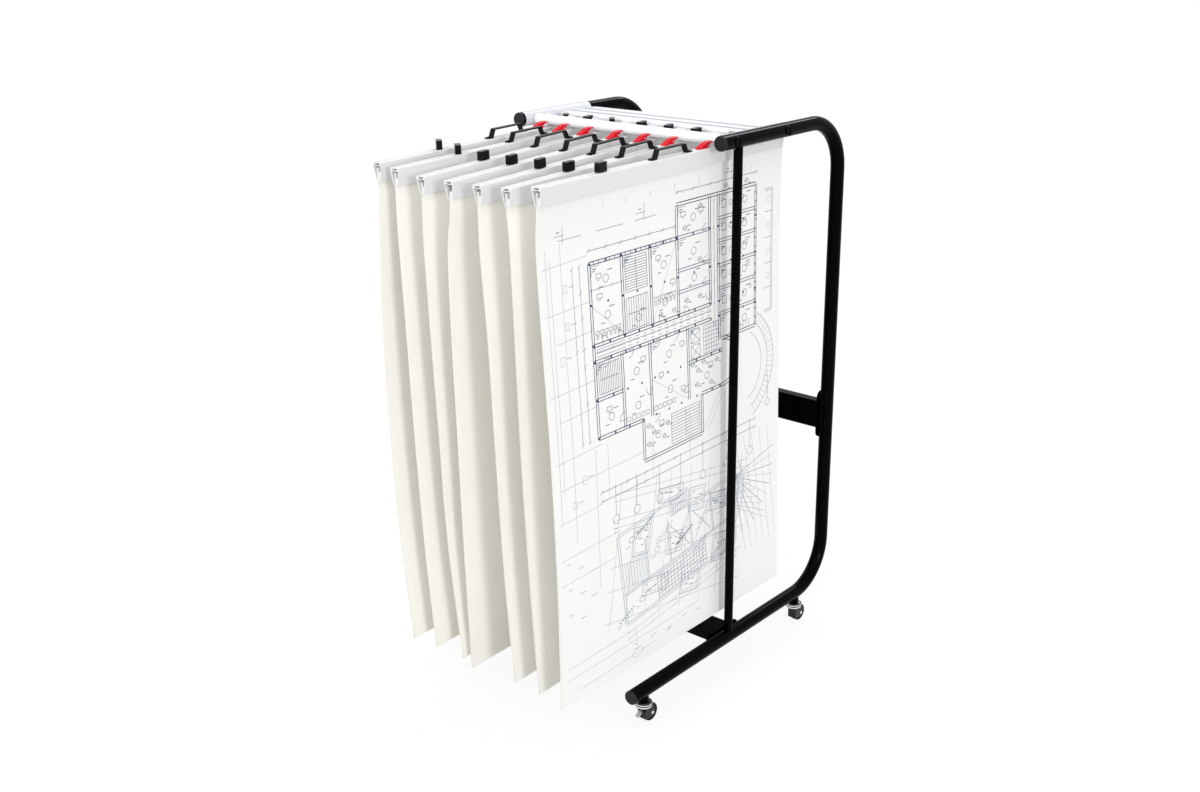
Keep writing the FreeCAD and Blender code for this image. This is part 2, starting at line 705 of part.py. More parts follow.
def castor_fork(label, x, y, has_brake):
    """Swivel stem, two race rings and the hooded fork with its axle."""
    body = new_body(label)
    rod(body, "Stem", (0, 0, HOOD_BOTTOM), STEM_RADIUS,
        SOCKET_BOTTOM + D["socket_depth"] - D["race_gap"] - HOOD_BOTTOM)
    groove = D["race_size"] / 2 - D["race_groove"]
    rod(body, "RaceCore", (0, 0, HOOD_BOTTOM), groove, RACE_TOP - HOOD_BOTTOM)
    upper = HOOD_TOP + D["race_height"] + D["race_groove"]
    rod(body, "LowerRace", (0, 0, HOOD_TOP), D["race_size"] / 2, D["race_height"])
    rod(body, "UpperRace", (0, 0, upper), D["race_size"] / 2, D["race_height"])
    inside = D["wheel_width"] / 2 + D["wheel_gap"]
    outside = inside + D["hood_wall"]
    front = D["wheel_trail"] - AXLE_HEIGHT - D["wheel_gap"] - D["hood_wall"]
    rear = D["wheel_trail"] + D["hub_size"] / 2
    block(body, "HoodPlate", (-outside, front, HOOD_BOTTOM),
          (2 * outside, D["wheel_trail"] - front, D["hood_plate"]))
    block(body, "HoodFront", (-outside, front, D["hood_skirt"]),
          (2 * outside, D["hood_wall"], HOOD_TOP - D["hood_skirt"]))
    half = D["hub_size"] / 2
    corners = [
        (front, D["hood_skirt"]),
        (D["wheel_trail"], AXLE_HEIGHT - half),
        (rear, AXLE_HEIGHT - half * CHEEK_CHAMFER),
        (rear, AXLE_HEIGHT + half),
        (D["wheel_trail"], HOOD_TOP),
        (front, HOOD_TOP),
    ]
    for name, offset in (("LeftCheek", -outside), ("RightCheek", inside)):
        cheek = sketch_on(body, name, "YZ_Plane", offset)
        outline(cheek, corners)
        pad(body, cheek, D["hood_wall"])
    rod(body, "Axle", (-outside, D["wheel_trail"], AXLE_HEIGHT), D["axle_size"] / 2,
        2 * outside, ALONG_X)
    if has_brake:
        lug_inside = D["lever_width"] / 2 + D["lever_gap"]
        lug_thick = D["hood_wall"]
        lever_at = front - D["lever_barrel"] / 2 - D["lever_gap"]
        lug_front = lever_at - D["lever_pin"]
        for name, start in (("LeftLug", -lug_inside - lug_thick), ("RightLug", lug_inside)):
            block(body, name, (start, lug_front, D["lever_height"] - D["lever_barrel"] / 2),
                  (lug_thick, front - lug_front, D["lever_barrel"]))
        rod(body, "LeverPin", (-lug_inside - lug_thick, lever_at, D["lever_height"]),
            D["lever_pin"] / 2, 2 * (lug_inside + lug_thick), ALONG_X)
    body.Placement = place(x, y, 0)
    return body


def castor_wheel(label, x, y):
    body = new_body(label)
    tread = sketch_on(body, "Tread", "YZ_Plane")
    circle(tread, 0, 0, D["wheel_size"] / 2)
    pad(body, tread, D["wheel_width"], symmetric=True)
    radius = (D["wheel_size"] / 2).value
    round_edges(body, "TreadEdge", D["wheel_edge"],
                lambda edge: edge.BoundBox.ZLength > radius and edge.BoundBox.XLength < LEVEL)
    width = D["wheel_width"] + 2 * (D["wheel_gap"] - D["hub_gap"])
    rod(body, "Hub", (-width / 2, 0, 0), D["hub_size"] / 2, width, ALONG_X)
    rod(body, "Bore", (-width / 2, 0, 0), D["axle_size"] / 2 + D["axle_gap"], width, ALONG_X,
        kind="Subtractive")
    body.Placement = place(x, as_size(y) + D["wheel_trail"], AXLE_HEIGHT)
    return body


def brake_lever(label, x, y):
    """A pressed tab that turns on a pin across the front of the hood."""
    body = new_body(label)
    barrel = D["lever_barrel"] / 2
    half = D["lever_width"] / 2
    rod(body, "Barrel", (-half, 0, 0), barrel, D["lever_width"], ALONG_X)
    block(body, "Blade", (-half, -D["lever_length"], barrel - D["lever_thick"]),
          (D["lever_width"], D["lever_length"], D["lever_thick"]))
    rod(body, "Bore", (-half, 0, 0), D["lever_pin"] / 2 + D["axle_gap"], D["lever_width"],
        ALONG_X, kind="Subtractive")
    front = D["wheel_trail"] - AXLE_HEIGHT - D["wheel_gap"] - D["hood_wall"]
    lever_at = as_size(y) + front - barrel - D["lever_gap"]
    slope = FreeCAD.Rotation(X_AXIS, LEVER_SLOPE)
    body.Placement = place(x, lever_at, D["lever_height"], slope)
    return body


# ---- clamps ----


def clamp_channel(label, index):
    """The extruded jaw, the hook that hangs it on the beam, and the catch's lug and pin."""
    body = new_body(label)
    half = D["clamp_width"] / 2
    wall = D["clamp_wall"]
    slot_floor = CLAMP_TOP - 2 * wall - D["slot_height"]
    bottom = CLAMP_TOP - D["clamp_height"]
    pad_top = bottom + D["grip_pad_height"]
    pad_top_lean = D["face_lean"] * (1 - D["grip_pad_height"] / D["clamp_height"])
    floor_lean = D["face_lean"] * (CLAMP_TOP - slot_floor) / D["clamp_height"]
    inner_right = half - D["leg_wall"]
    profile = sketch_on(body, "JawProfile", "XZ_Plane", -CLAMP_REAR)
    outline(profile, [
        (-half, CLAMP_TOP),
        (half, CLAMP_TOP),
        (half - D["face_lean"], bottom),
        (GRIP_FACE, bottom),
        (GRIP_FACE, pad_top),
        (inner_right - pad_top_lean, pad_top),
        (inner_right - floor_lean, slot_floor),
        (D["leg_wall"] - half, slot_floor),
        (JAW_TIP, bottom),
        (JAW_TIP - D["leg_wall"], bottom),
        (-half, slot_floor),
    ])
    slot = D["slot_width"] / 2
    rectangle(profile, -slot, slot, CLAMP_TOP - wall - D["slot_height"], CLAMP_TOP - wall)
    pad(body, profile, D["clamp_length"])
    top = CLAMP_TOP.value
    along = FreeCAD.Vector(0, 1, 0)
    round_edges(body, "TopEdges", D["clamp_edge"],
                lambda edge: runs_along(edge, along) and abs(edge.BoundBox.ZMax - top) < LEVEL)
    near = BEAM_RADIUS + D["hook_gap"]
    far = near + D["hook_thick"]
    across = -D["hook_width"] / 2
    block(body, "HookFoot", (across, near, CLAMP_TOP),
          (D["hook_width"], D["hook_foot"], D["hook_thick"]))
    block(body, "HookBack", (across, near, CLAMP_TOP),
          (D["hook_width"], D["hook_thick"], D["clamp_drop"]))
    hook = rod(body, "HookCurl", (across, 0, 0), far, D["hook_width"], ALONG_X, D["hook_wrap"])
    hook.Refine = True
    rod(body, "BeamRoom", (across - CUT_MARGIN, 0, 0), near, D["hook_width"] + 2 * CUT_MARGIN,
        ALONG_X, kind="Subtractive")
    lug = D["catch_lug"] / 2
    lug_radius = D["catch_lug_size"] / 2
    block(body, "CatchLug", (-lug, D["catch_pin_at"] - lug_radius, CLAMP_TOP),
          (D["catch_lug"], D["catch_lug_size"], D["catch_pin_rise"]))
    rod(body, "CatchLugTop", (-lug, D["catch_pin_at"], PIN_HEIGHT), lug_radius,
        D["catch_lug"], ALONG_X)
    rod(body, "CatchPin", (-D["catch_width"] / 2, D["catch_pin_at"], PIN_HEIGHT),
        D["catch_pin"] / 2, D["catch_width"], ALONG_X)
    for name in ("front", "rear"):
        rod(body, name.title() + "ScrewHole", (0, D[f"{name}_knob_at"], slot_floor),
            D["knob_shank"] / 2 + D["knob_shank_gap"], 2 * wall + D["slot_height"],
            kind="Subtractive")
    body.Placement = clamp_place(index)
    return body


def clamp_handle(label, index):
    """The bent strap that the clamp is carried by, and its two rivets."""
    strap = new_body(label + "_strap")
    thick = D["handle_strap"]
    rise = D["handle_rise"]
    over = D["handle_span"] / 2
    foot = D["handle_base"] / 2
    top = D["handle_top"] / 2
    profile = sketch_on(strap, "StrapProfile", "YZ_Plane")
    half_line = [
        (over, 0),
        (over, thick),
        (foot, thick),
        (top, rise),
    ]
    under = [(foot - thick, 0), (top - thick, rise - thick)]
    mirror_line = [(-y, z) for y, z in reversed(half_line)]
    mirror_under = [(-y, z) for y, z in under]
    outline(profile, half_line + mirror_line + mirror_under + list(reversed(under)))
    pad(strap, profile, D["handle_width"], symmetric=True)
    high = rise.value
    round_edges(strap, "Bends", thick,
                lambda edge: runs_along(edge, X_AXIS) and abs(edge.BoundBox.ZMin - high) < LEVEL)
    rivet_y = (over + foot) / 2
    for name, sign in (("Front", -1), ("Rear", 1)):
        rod(strap, name + "RivetHole", (0, sign * rivet_y, 0), D["rivet_shank"] / 2, thick,
            kind="Subtractive")
    seat = clamp_place(index) * place(0, D["handle_at"], CLAMP_TOP)
    strap.Placement = seat
    pieces = [strap]
    for sign in (-1, 1):
        name = f"{label}_rivet_{'front' if sign < 0 else 'rear'}"
        shank = free_cylinder(name + "_shank", seat * place(0, sign * rivet_y, 0),
                              D["rivet_shank"] / 2, thick)
        head = free_cylinder(name + "_head", seat * place(0, sign * rivet_y, thick),
                             D["rivet_head"] / 2, D["rivet_rise"])
        pieces.append(joined(name, [shank, head]))
    return group(label, pieces)


def clamp_catch(label, index):
    """The lever whose nose lies on the clamp and whose tail meets the beam's front."""
    body = new_body(label)
    under = D["catch_gap"] - D["catch_pin_rise"]
    tail = -D["catch_pin_at"] - BEAM_RADIUS - D["catch_gap"]
    tail_top = D["catch_tail_rise"]
    tail_under = tail_top - D["catch_tail_thick"]
    nose = D["catch_nose"]
    profile = sketch_on(body, "CatchProfile", "YZ_Plane")
    outline(profile, [
        (-nose, under),
        (0, under),
        (-CATCH_HEEL[0] * under, CATCH_HEEL[1] * under),
        (-CATCH_BACK * under, 0),
        (CATCH_TAIL_ROOT * tail, tail_under - TAIL_UNDERCUT),
        (tail, tail_under),
        (tail, tail_top),
        (CATCH_TAIL_CREST * tail, tail_top + TAIL_CREST_RISE),
        (-CATCH_BROW[0] * nose, CATCH_BROW[1] * tail_top),
        (-CATCH_BRIDGE[0] * nose, CATCH_BRIDGE[1] * tail_top),
        (-CATCH_TIP * nose, under + TIP_THICK),
    ])
    pad(body, profile, D["catch_width"], symmetric=True)
    slot = D["catch_lug"] + 2 * D["catch_lug_gap"]
    room = D["catch_lug_size"] / 2 + 3 * D["catch_lug_gap"]
    rod(body, "LugRoom", (-slot / 2, 0, 0), room, slot, ALONG_X, kind="Subtractive")
    reach = room + CUT_MARGIN
    block(body, "LugSlot", (-slot / 2, -reach, under), (slot, 2 * reach, -under), "Subtractive")
    rod(body, "PinHole", (-D["catch_width"] / 2, 0, 0), D["catch_pin"] / 2 + D["catch_pin_gap"],
        D["catch_width"], ALONG_X, kind="Subtractive")
    body.Placement = clamp_place(index) * place(0, D["catch_pin_at"], PIN_HEIGHT)
    return body


def clamp_knob(label, index, y, turn):
    """A rectangular turn knob with its collar and the screw that closes the jaw."""
    body = new_body(label)
    seat = D["knob_seat_gap"]
    grip_bottom = seat + D["knob_collar_rise"]
    profile = sketch_on(body, "GripProfile", "XY_Plane", grip_bottom)
    wide = D["knob_width"] / 2
    long = D["knob_length"] / 2
    rectangle(profile, -wide, wide, -long, long)
    pad(body, profile, D["knob_height"])
    low = grip_bottom.value + LEVEL
    round_edges(body, "GripEdges", D["knob_edge"],
                lambda edge: edge.BoundBox.ZMax > low > edge.BoundBox.ZMin)
    rod(body, "Collar", (0, 0, seat), D["knob_collar"] / 2, D["knob_collar_rise"])
    rod(body, "Screw", (0, 0, -D["knob_shank_reach"]), D["knob_shank"] / 2,
        D["knob_shank_reach"] + grip_bottom)
    spin = FreeCAD.Rotation(Z_AXIS, turn)
    body.Placement = clamp_place(index) * place(0, y, CLAMP_TOP, spin)
    return body


def pack_profile(body, name, y, grip, hangs):
    """The pack's section across its clamp: straight in the jaw, then bent as it hangs."""
    mouth = CLAMP_TOP - D["clamp_height"]
    free = D["plan_length"] - grip
    line = [(0, mouth + grip), (0, mouth)]
    line += [(hang, mouth - free * share) for hang, share in zip(hangs, HANG_SHARES)]
    profile = sketch_on(body, name, "XZ_Plane", -y)
    right = [(PLAN_RIGHT + x, z) for x, z in line]
    left = [(PLAN_LEFT + x, z) for x, z in reversed(line)]
    outline(profile, right + left)
    return profile


def plan_pack(label, index):
    """The pack of sheets that the clamp holds by its upper edge."""
    body = new_body(label)
    front = CLAMP_FRONT + D["plan_inset"]
    rear = front + D["plan_width"]
    grip = D["plan_grip"] - SLIPS[index]
    front_edge = pack_profile(body, "FrontEdge", front, grip, FRONT_HANGS[index])
    rear_edge = pack_profile(body, "RearEdge", rear, grip, REAR_HANGS[index])
    loft = body.newObject("PartDesign::AdditiveLoft", "Hang")
    loft.Profile = front_edge
    loft.Sections = [rear_edge]
    loft.Ruled = True
    body.Placement = clamp_place(index)
    return body


def clamp(index):
    """One clamp with everything on it, from left to right along the beam."""
    name = f"clamp_{index + 1}"
    return [
        clamp_channel(name + "_channel", index),
        clamp_handle(name + "_handle", index),
        clamp_catch(name + "_catch", index),
        clamp_knob(name + "_front_knob", index, D["front_knob_at"], FRONT_KNOB_TURNS[index]),
        clamp_knob(name + "_rear_knob", index, D["rear_knob_at"], REAR_KNOB_TURNS[index]),
        plan_pack(name + "_plans", index),
    ]


# ---- the whole rack ----


def castors():
    pieces = []
    for side, sign in SIDES.items():
        for end in ("front", "rear"):
            x = sign * FRAME_X
            y = D[f"{end}_castor_at"]
            name = f"{end}_{side}_castor"
            pieces.append(castor_fork(name + "_fork", x, y, end == "front"))
            pieces.append(castor_wheel(name + "_wheel", x, y))
            if end == "front":
                pieces.append(brake_lever(name + "_brake", x, y))
    return pieces


def build():
    parts = [side_frame(side) for side in SIDES]
    parts.append(front_beam())
    parts.append(rear_rail())
    parts.append(crossbar("mid_crossbar", D["rear_tube_at"], D["mid_bar_height"], False))
    parts.append(crossbar("base_crossbar", D["post_at"], D["foot_height"], True))
    parts.append(end_caps())
    parts.append(frame_bolts())
    parts.extend(castors())
    for index in range(CLAMP_COUNT):
        parts.extend(clamp(index))
    doc.recompute()
    return parts


def check(parts):
    """Stop if any object failed, or a sub-part has no sound shape."""
    for thing in doc.Objects:
        if "Invalid" in thing.State or "Error" in thing.State:
            raise RuntimeError(f"{thing.Label} failed: {thing.State}")
    for part in parts:
        if part.Shape.isNull() or not part.Shape.isValid() or not part.Shape.Solids:
            raise RuntimeError(f"{part.Label} has no valid shape")


def export(parts):
    os.makedirs("parts", exist_ok=True)
    for part in parts:
        part.Shape.exportStep(os.path.join("parts", part.Label + ".step"))
        print(part.Label, len(part.Shape.Solids), round(part.Shape.Volume))


rack = build()
check(rack)
export(rack)
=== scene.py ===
import json
import math

import bmesh
import bpy
from mathutils import Matrix, Vector, noise


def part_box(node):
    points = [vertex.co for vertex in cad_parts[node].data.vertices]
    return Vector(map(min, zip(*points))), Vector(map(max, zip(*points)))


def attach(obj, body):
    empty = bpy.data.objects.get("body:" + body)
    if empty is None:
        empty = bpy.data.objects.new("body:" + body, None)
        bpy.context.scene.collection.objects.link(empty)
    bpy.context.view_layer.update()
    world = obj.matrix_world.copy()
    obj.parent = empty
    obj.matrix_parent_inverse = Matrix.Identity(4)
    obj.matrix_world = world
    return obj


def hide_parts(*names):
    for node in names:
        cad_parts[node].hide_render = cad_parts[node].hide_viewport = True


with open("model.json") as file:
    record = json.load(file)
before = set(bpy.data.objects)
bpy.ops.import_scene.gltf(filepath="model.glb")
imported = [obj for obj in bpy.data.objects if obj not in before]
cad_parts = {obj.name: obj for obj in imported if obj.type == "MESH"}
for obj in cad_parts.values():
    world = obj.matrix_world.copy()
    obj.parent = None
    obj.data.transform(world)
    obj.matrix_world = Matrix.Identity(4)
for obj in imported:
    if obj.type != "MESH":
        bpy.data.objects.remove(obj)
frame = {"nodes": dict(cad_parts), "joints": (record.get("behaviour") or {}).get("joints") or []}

# A mobile rack with seven clamps that each hold a pack of large drawing sheets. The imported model
# gives the frame, clamps and castors. This script gives them their finishes, hangs the loose
# sheets in place of the bent slabs, draws a made-up floor plan on the nearest sheet, and sets
# the camera, floor and light. Lengths are in metres, unless a comment says millimetres.

MM = 0.001
nodes = frame["nodes"]
joints = {joint["name"]: joint for joint in frame["joints"]}
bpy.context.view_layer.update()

CLAMPS = range(1, 8)
SIDES = ("left", "right")
ENDS = ("front", "rear")


# ---- materials ----

# How far the white liners stand in from the side frames' tubes.
LINER_DEPTH = 0.006
# The rail's two grooves: how far their middles lie from the rail's own, how far from there the
# painted shade in them is full, and where it ends.
GROOVE_MIDDLE = 0.02285
GROOVE_SHADE_FULL = 0.0036
GROOVE_SHADE_END = 0.0105
# The castors: how far the axle trails the swivel, the heights of the two race rings and of the
# cup over the floor, the cup's inner and outer radius, and the radii of the axle's end and hub.
CASTOR_TRAIL = 0.020
RACE_RINGS = ((0.0482, 0.0516), (0.0546, 0.0574))
CUP_HEIGHTS = (0.0578, 0.0600)
CUP_RADII = (0.0142, 0.0172)
AXLE_END_RADIUS = 0.0041
HUB_RADIUS = 0.0095
# The widths of the soft edge between hub and tread, and of the dusty band at the tread's rim.
HUB_EDGE = 0.0004
TREAD_DUST = 0.0008
# How metallic a plated surface is.
PLATED = 0.9


class Finish:
    """A procedural material on one Principled shader, patterned in the part's own coordinates."""

    def __init__(self, name, metallic=0.0, specular=0.5):
        self.material = bpy.data.materials.new(name)
        self.material.use_nodes = True
        self.tree = self.material.node_tree
        self.tree.nodes.clear()
        out = self.tree.nodes.new("ShaderNodeOutputMaterial")
        self.shader = self.tree.nodes.new("ShaderNodeBsdfPrincipled")
        self.tree.links.new(self.shader.outputs["BSDF"], out.inputs["Surface"])
        self.shader.inputs["Metallic"].default_value = metallic
        self.shader.inputs["Specular IOR Level"].default_value = specular
        self.spot = self.tree.nodes.new("ShaderNodeTexCoord").outputs["Object"]

    def feed(self, socket, value):
        """Set a socket to a plain value, or link it to another socket."""
        if isinstance(value, bpy.types.NodeSocket):
            self.tree.links.new(value, socket)
        else:
            socket.default_value = value

    def noise(self, per_metre, detail=3.0, stretch=(1.0, 1.0, 1.0)):
        """A noise factor. Stretch above 1 packs the pattern closer along that axis."""
        mapping = self.tree.nodes.new("ShaderNodeMapping")
        mapping.inputs["Scale"].default_value = stretch
        self.tree.links.new(self.spot, mapping.inputs["Vector"])
        texture = self.tree.nodes.new("ShaderNodeTexNoise")
        texture.inputs["Scale"].default_value = per_metre
        texture.inputs["Detail"].default_value = detail
        self.tree.links.new(mapping.outputs["Vector"], texture.inputs["Vector"])
        return texture.outputs["Fac"]

    def axis(self, name):
        """One coordinate of the surface point."""
        split = self.tree.nodes.new("ShaderNodeSeparateXYZ")
        self.tree.links.new(self.spot, split.inputs["Vector"])
        return split.outputs[name]

    def remap(self, factor, low, high, start=0.0, end=1.0):
        """Start to end becomes low to high, held at both ends."""
        node = self.tree.nodes.new("ShaderNodeMapRange")
        for socket, value in (("Value", factor), ("From Min", start), ("From Max", end),
                              ("To Min", low), ("To Max", high)):
            self.feed(node.inputs[socket], value)
        return node.outputs["Result"]

    def maths(self, operation, first, second=0.0):
        """One step of arithmetic on one or two values."""
        node = self.tree.nodes.new("ShaderNodeMath")
        node.operation = operation
        self.feed(node.inputs[0], first)
        self.feed(node.inputs[1], second)
        return node.outputs["Value"]

    def distance(self, first, second):
        """The length of two offsets at right angles."""
        squares = self.maths("ADD", self.maths("MULTIPLY", first, first),
                             self.maths("MULTIPLY", second, second))
        return self.maths("POWER", squares, 0.5)

    def band(self, value, low, high):
        """1 between two values of a coordinate, else 0."""
        above = self.maths("GREATER_THAN", value, low)
        return self.maths("MULTIPLY", above, self.maths("LESS_THAN", value, high))

    def blend(self, factor, first, second):
        """A colour between two colours or colour sockets."""
        node = self.tree.nodes.new("ShaderNodeMix")
        node.data_type = "RGBA"
        self.feed(node.inputs["Factor"], factor)
        for socket, value in (("A", first), ("B", second)):
            target = [s for s in node.inputs if s.name == socket and s.type == "RGBA"][0]
            plain = not isinstance(value, bpy.types.NodeSocket)
            self.feed(target, (*value, 1.0) if plain else value)
        return [s for s in node.outputs if s.type == "RGBA"][0]

    def colour(self, socket):
        self.tree.links.new(socket, self.shader.inputs["Base Color"])
        return self

    def roughness(self, socket):
        self.tree.links.new(socket, self.shader.inputs["Roughness"])
        return self

    def metallic(self, socket):
        self.tree.links.new(socket, self.shader.inputs["Metallic"])
        return self

    def relief(self, *layers):
        """Bumps from (height factor, distance in metres) pairs, laid over each other."""
        normal = None
        for height, distance in layers:
            bump = self.tree.nodes.new("ShaderNodeBump")
            bump.inputs["Distance"].default_value = distance
            self.tree.links.new(height, bump.inputs["Height"])
            if normal is not None:
                self.tree.links.new(normal, bump.inputs["Normal"])
            normal = bump.outputs["Normal"]
        self.tree.links.new(normal, self.shader.inputs["Normal"])
        return self


def black_lacquer():
    """Stoved gloss lacquer: near black, with faint orange peel and a slightly uneven gloss."""
    finish = Finish("black_lacquer", specular=0.035)
    cloud = finish.noise(7.0)
    finish.colour(finish.blend(cloud, (0.0001, 0.0001, 0.0001), (0.0005, 0.0005, 0.0006)))
    finish.roughness(finish.remap(finish.noise(26.0), 0.14, 0.22))
    return finish.relief((finish.noise(420.0, 1.0), 0.00002)).material


def white_lacquer():
    """Semi-gloss white lacquer on the beam, and a cooler white on the liners along the arms."""
    finish = Finish("white_lacquer", specular=0.4)
    low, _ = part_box("right_side_frame")
    aside = finish.maths("ABSOLUTE", finish.axis("X"))
    is_liner = finish.maths("GREATER_THAN", aside, low.x - LINER_DEPTH)
    cloud = finish.noise(5.0)
    beam = finish.blend(cloud, (0.90, 0.91, 0.935), (0.935, 0.945, 0.965))
    liner = finish.blend(cloud, (0.62, 0.64, 0.69), (0.67, 0.685, 0.73))
    finish.colour(finish.blend(is_liner, beam, liner))
    finish.roughness(finish.remap(finish.noise(30.0), 0.26, 0.4))
    return finish.relief((finish.noise(520.0, 1.0), 0.00004)).material


def rail_lacquer():
    """The rail's cooler white lacquer, with painted shade that darkens the grooves between ribs.
    """
    finish = Finish("rail_lacquer", specular=0.25)
    low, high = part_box("rear_rail")
    off_middle = finish.maths("SUBTRACT", finish.axis("Y"), (low.y + high.y) / 2)
    aside = finish.maths("ABSOLUTE", off_middle)
    from_groove = finish.maths("ABSOLUTE", finish.maths("SUBTRACT", aside, GROOVE_MIDDLE))
    # Painted shade: the grooves between the ribs are darkened in the colour, fading out onto the
    # ribs.
    painted_groove_shade = finish.remap(from_groove, 1.0, 0.0, GROOVE_SHADE_FULL, GROOVE_SHADE_END)
    cloud = finish.noise(5.0)
    lacquer = finish.blend(cloud, (0.82, 0.835, 0.875), (0.86, 0.87, 0.905))
    groove_shade_colour = finish.blend(finish.noise(60.0, 4.0), (0.30, 0.33, 0.38), (0.42, 0.45, 0.50))
    finish.colour(finish.blend(painted_groove_shade, lacquer, groove_shade_colour))
    finish.roughness(finish.remap(finish.noise(30.0), 0.28, 0.42))
    return finish.relief((finish.noise(520.0, 1.0), 0.00004)).material


def clamp_white():
    """Satin coated extrusion, with fine draw lines along its length and faint handling marks."""
    finish = Finish("clamp_white", specular=0.4)
    streaks = finish.noise(60.0, 4.0, (9.0, 0.25, 9.0))
    marks = finish.noise(11.0, 5.0)
    base = finish.blend(streaks, (0.755, 0.765, 0.78), (0.795, 0.805, 0.82))
    finish.colour(finish.blend(finish.remap(marks, 0.0, 0.35, 0.55, 0.8), base,
                               (0.72, 0.725, 0.725)))
    finish.roughness(finish.remap(marks, 0.34, 0.5))
    return finish.relief((streaks, 0.00004), (finish.noise(900.0, 1.0), 0.00002)).material


def moulded_black(name, shine, specular, dust=0.0):
    """Black moulded plastic with a fine eroded grain, greyed all over by any dust."""
    finish = Finish(name, specular=specular)
    dark = [part + dust for part in (0.0015, 0.0015, 0.0018)]
    light = [part + dust for part in (0.0045, 0.0045, 0.005)]
    finish.colour(finish.blend(finish.noise(40.0), dark, light))
    finish.roughness(finish.remap(finish.noise(150.0), shine, shine + 0.16))
    return finish.relief((finish.noise(1800.0, 2.0), 0.00004)).material


def red_plastic():
    """Gloss red moulding, a little deeper in places, with fine rubbing."""
    finish = Finish("red_plastic", specular=0.12)
    cloud = finish.noise(50.0)
    finish.colour(finish.blend(cloud, (0.60, 0.002, 0.011), (0.73, 0.004, 0.020)))
    finish.roughness(finish.remap(finish.noise(240.0), 0.18, 0.36))
    return finish.relief((finish.noise(700.0, 2.0), 0.00003)).material


def zinc():
    """Bright plated steel with a cloudy grain."""
    finish = Finish("zinc", metallic=PLATED)
    cloud = finish.noise(160.0, 4.0)
    finish.colour(finish.blend(cloud, (0.66, 0.67, 0.69), (0.80, 0.81, 0.83)))
    finish.roughness(finish.remap(finish.noise(90.0), 0.24, 0.42))
    return finish.relief((cloud, 0.00004)).material


def wheel_middle(end):
    """The middle of a right-hand wheel, which the left-hand one mirrors."""
    low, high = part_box(f"{end}_right_castor_wheel")
    return (low + high) / 2


def castor_steel(end):
    """Dark glossy fork and seals, with two bright race rings, a bright cup and axle end."""
    finish = Finish(f"castor_steel_{end}", specular=0.22)
    swivel_x, axle_y, axle_z = wheel_middle(end)
    height = finish.axis("Z")
    from_axle_y = finish.maths("SUBTRACT", finish.axis("Y"), axle_y)
    from_swivel_y = finish.maths("ADD", from_axle_y, CASTOR_TRAIL)
    from_swivel_x = finish.maths("SUBTRACT", finish.maths("ABSOLUTE", finish.axis("X")), swivel_x)
    swivel_radius = finish.distance(from_swivel_x, from_swivel_y)
    axle_radius = finish.distance(from_axle_y, finish.maths("SUBTRACT", height, axle_z))
    cup = finish.maths("MULTIPLY", finish.band(height, *CUP_HEIGHTS),
                       finish.band(swivel_radius, *CUP_RADII))
    axle_end = finish.maths("LESS_THAN", axle_radius, AXLE_END_RADIUS)
    bright = finish.maths("MAXIMUM", cup, axle_end)
    for ring in RACE_RINGS:
        bright = finish.maths("MAXIMUM", bright, finish.band(height, *ring))
    cloud = finish.noise(110.0)
    hood = finish.blend(cloud, (0.005, 0.006, 0.008), (0.016, 0.018, 0.024))
    plating = finish.blend(cloud, (0.72, 0.72, 0.73), (0.86, 0.86, 0.87))
    finish.colour(finish.blend(bright, hood, plating))
    finish.metallic(finish.maths("MULTIPLY", bright, PLATED))
    finish.roughness(finish.remap(finish.noise(70.0), 0.14, 0.32))
    return finish.relief((finish.noise(900.0, 2.0), 0.00003)).material


def castor_tread(end):
    """Black rubber tread round a dark grey hub, with a dusty running band."""
    finish = Finish(f"castor_tread_{end}", specular=0.12)
    _, axle_y, axle_z = wheel_middle(end)
    across = finish.maths("SUBTRACT", finish.axis("Y"), axle_y)
    upward = finish.maths("SUBTRACT", finish.axis("Z"), axle_z)
    radius = finish.distance(across, upward)
    low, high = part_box(f"{end}_right_castor_wheel")
    tread_radius = (high.z - low.z) / 2
    outside_hub = finish.remap(radius, 0.0, 1.0, HUB_RADIUS, HUB_RADIUS + HUB_EDGE)
    running = finish.remap(radius, 0.0, 1.0, tread_radius - TREAD_DUST, tread_radius)
    dust = finish.maths("MULTIPLY", running, finish.remap(finish.noise(180.0, 4.0), 0.1, 0.8))
    hub = finish.blend(finish.noise(200.0), (0.05, 0.05, 0.055), (0.09, 0.09, 0.095))
    rubber = finish.blend(dust, (0.004, 0.004, 0.005), (0.024, 0.023, 0.022))
    finish.colour(finish.blend(outside_hub, hub, rubber))
    finish.roughness(finish.remap(outside_hub, 0.4, 0.62))
    return finish.relief((finish.noise(1200.0, 2.0), 0.00005)).material


def paper(name, pale, bright, fleck):
    """Uncoated drawing paper: faint clouding, fibres and a soft tooth."""
    finish = Finish(name, specular=0.1)
    finish.shader.inputs["Sheen Weight"].default_value = 0.05
    cloud = finish.noise(4.0, 4.0)
    fibres = finish.noise(260.0, 5.0, (1.0, 1.0, 2.5))
    base = finish.blend(cloud, pale, bright)
    finish.colour(finish.blend(finish.remap(fibres, 0.0, 0.3, 0.5, 0.8), base, fleck))
    finish.roughness(finish.remap(fibres, 0.66, 0.8))
    return finish.relief((cloud, 0.0006), (fibres, 0.00003)).material


def ink(name, dark, light):
    """Plotter ink that lies a little uneven on the paper."""
    finish = Finish(name, specular=0.2)
    finish.colour(finish.blend(finish.noise(45.0, 4.0), dark, light))
    finish.roughness(finish.remap(finish.noise(300.0), 0.5, 0.7))
    return finish.relief((finish.noise(600.0, 2.0), 0.00002)).material


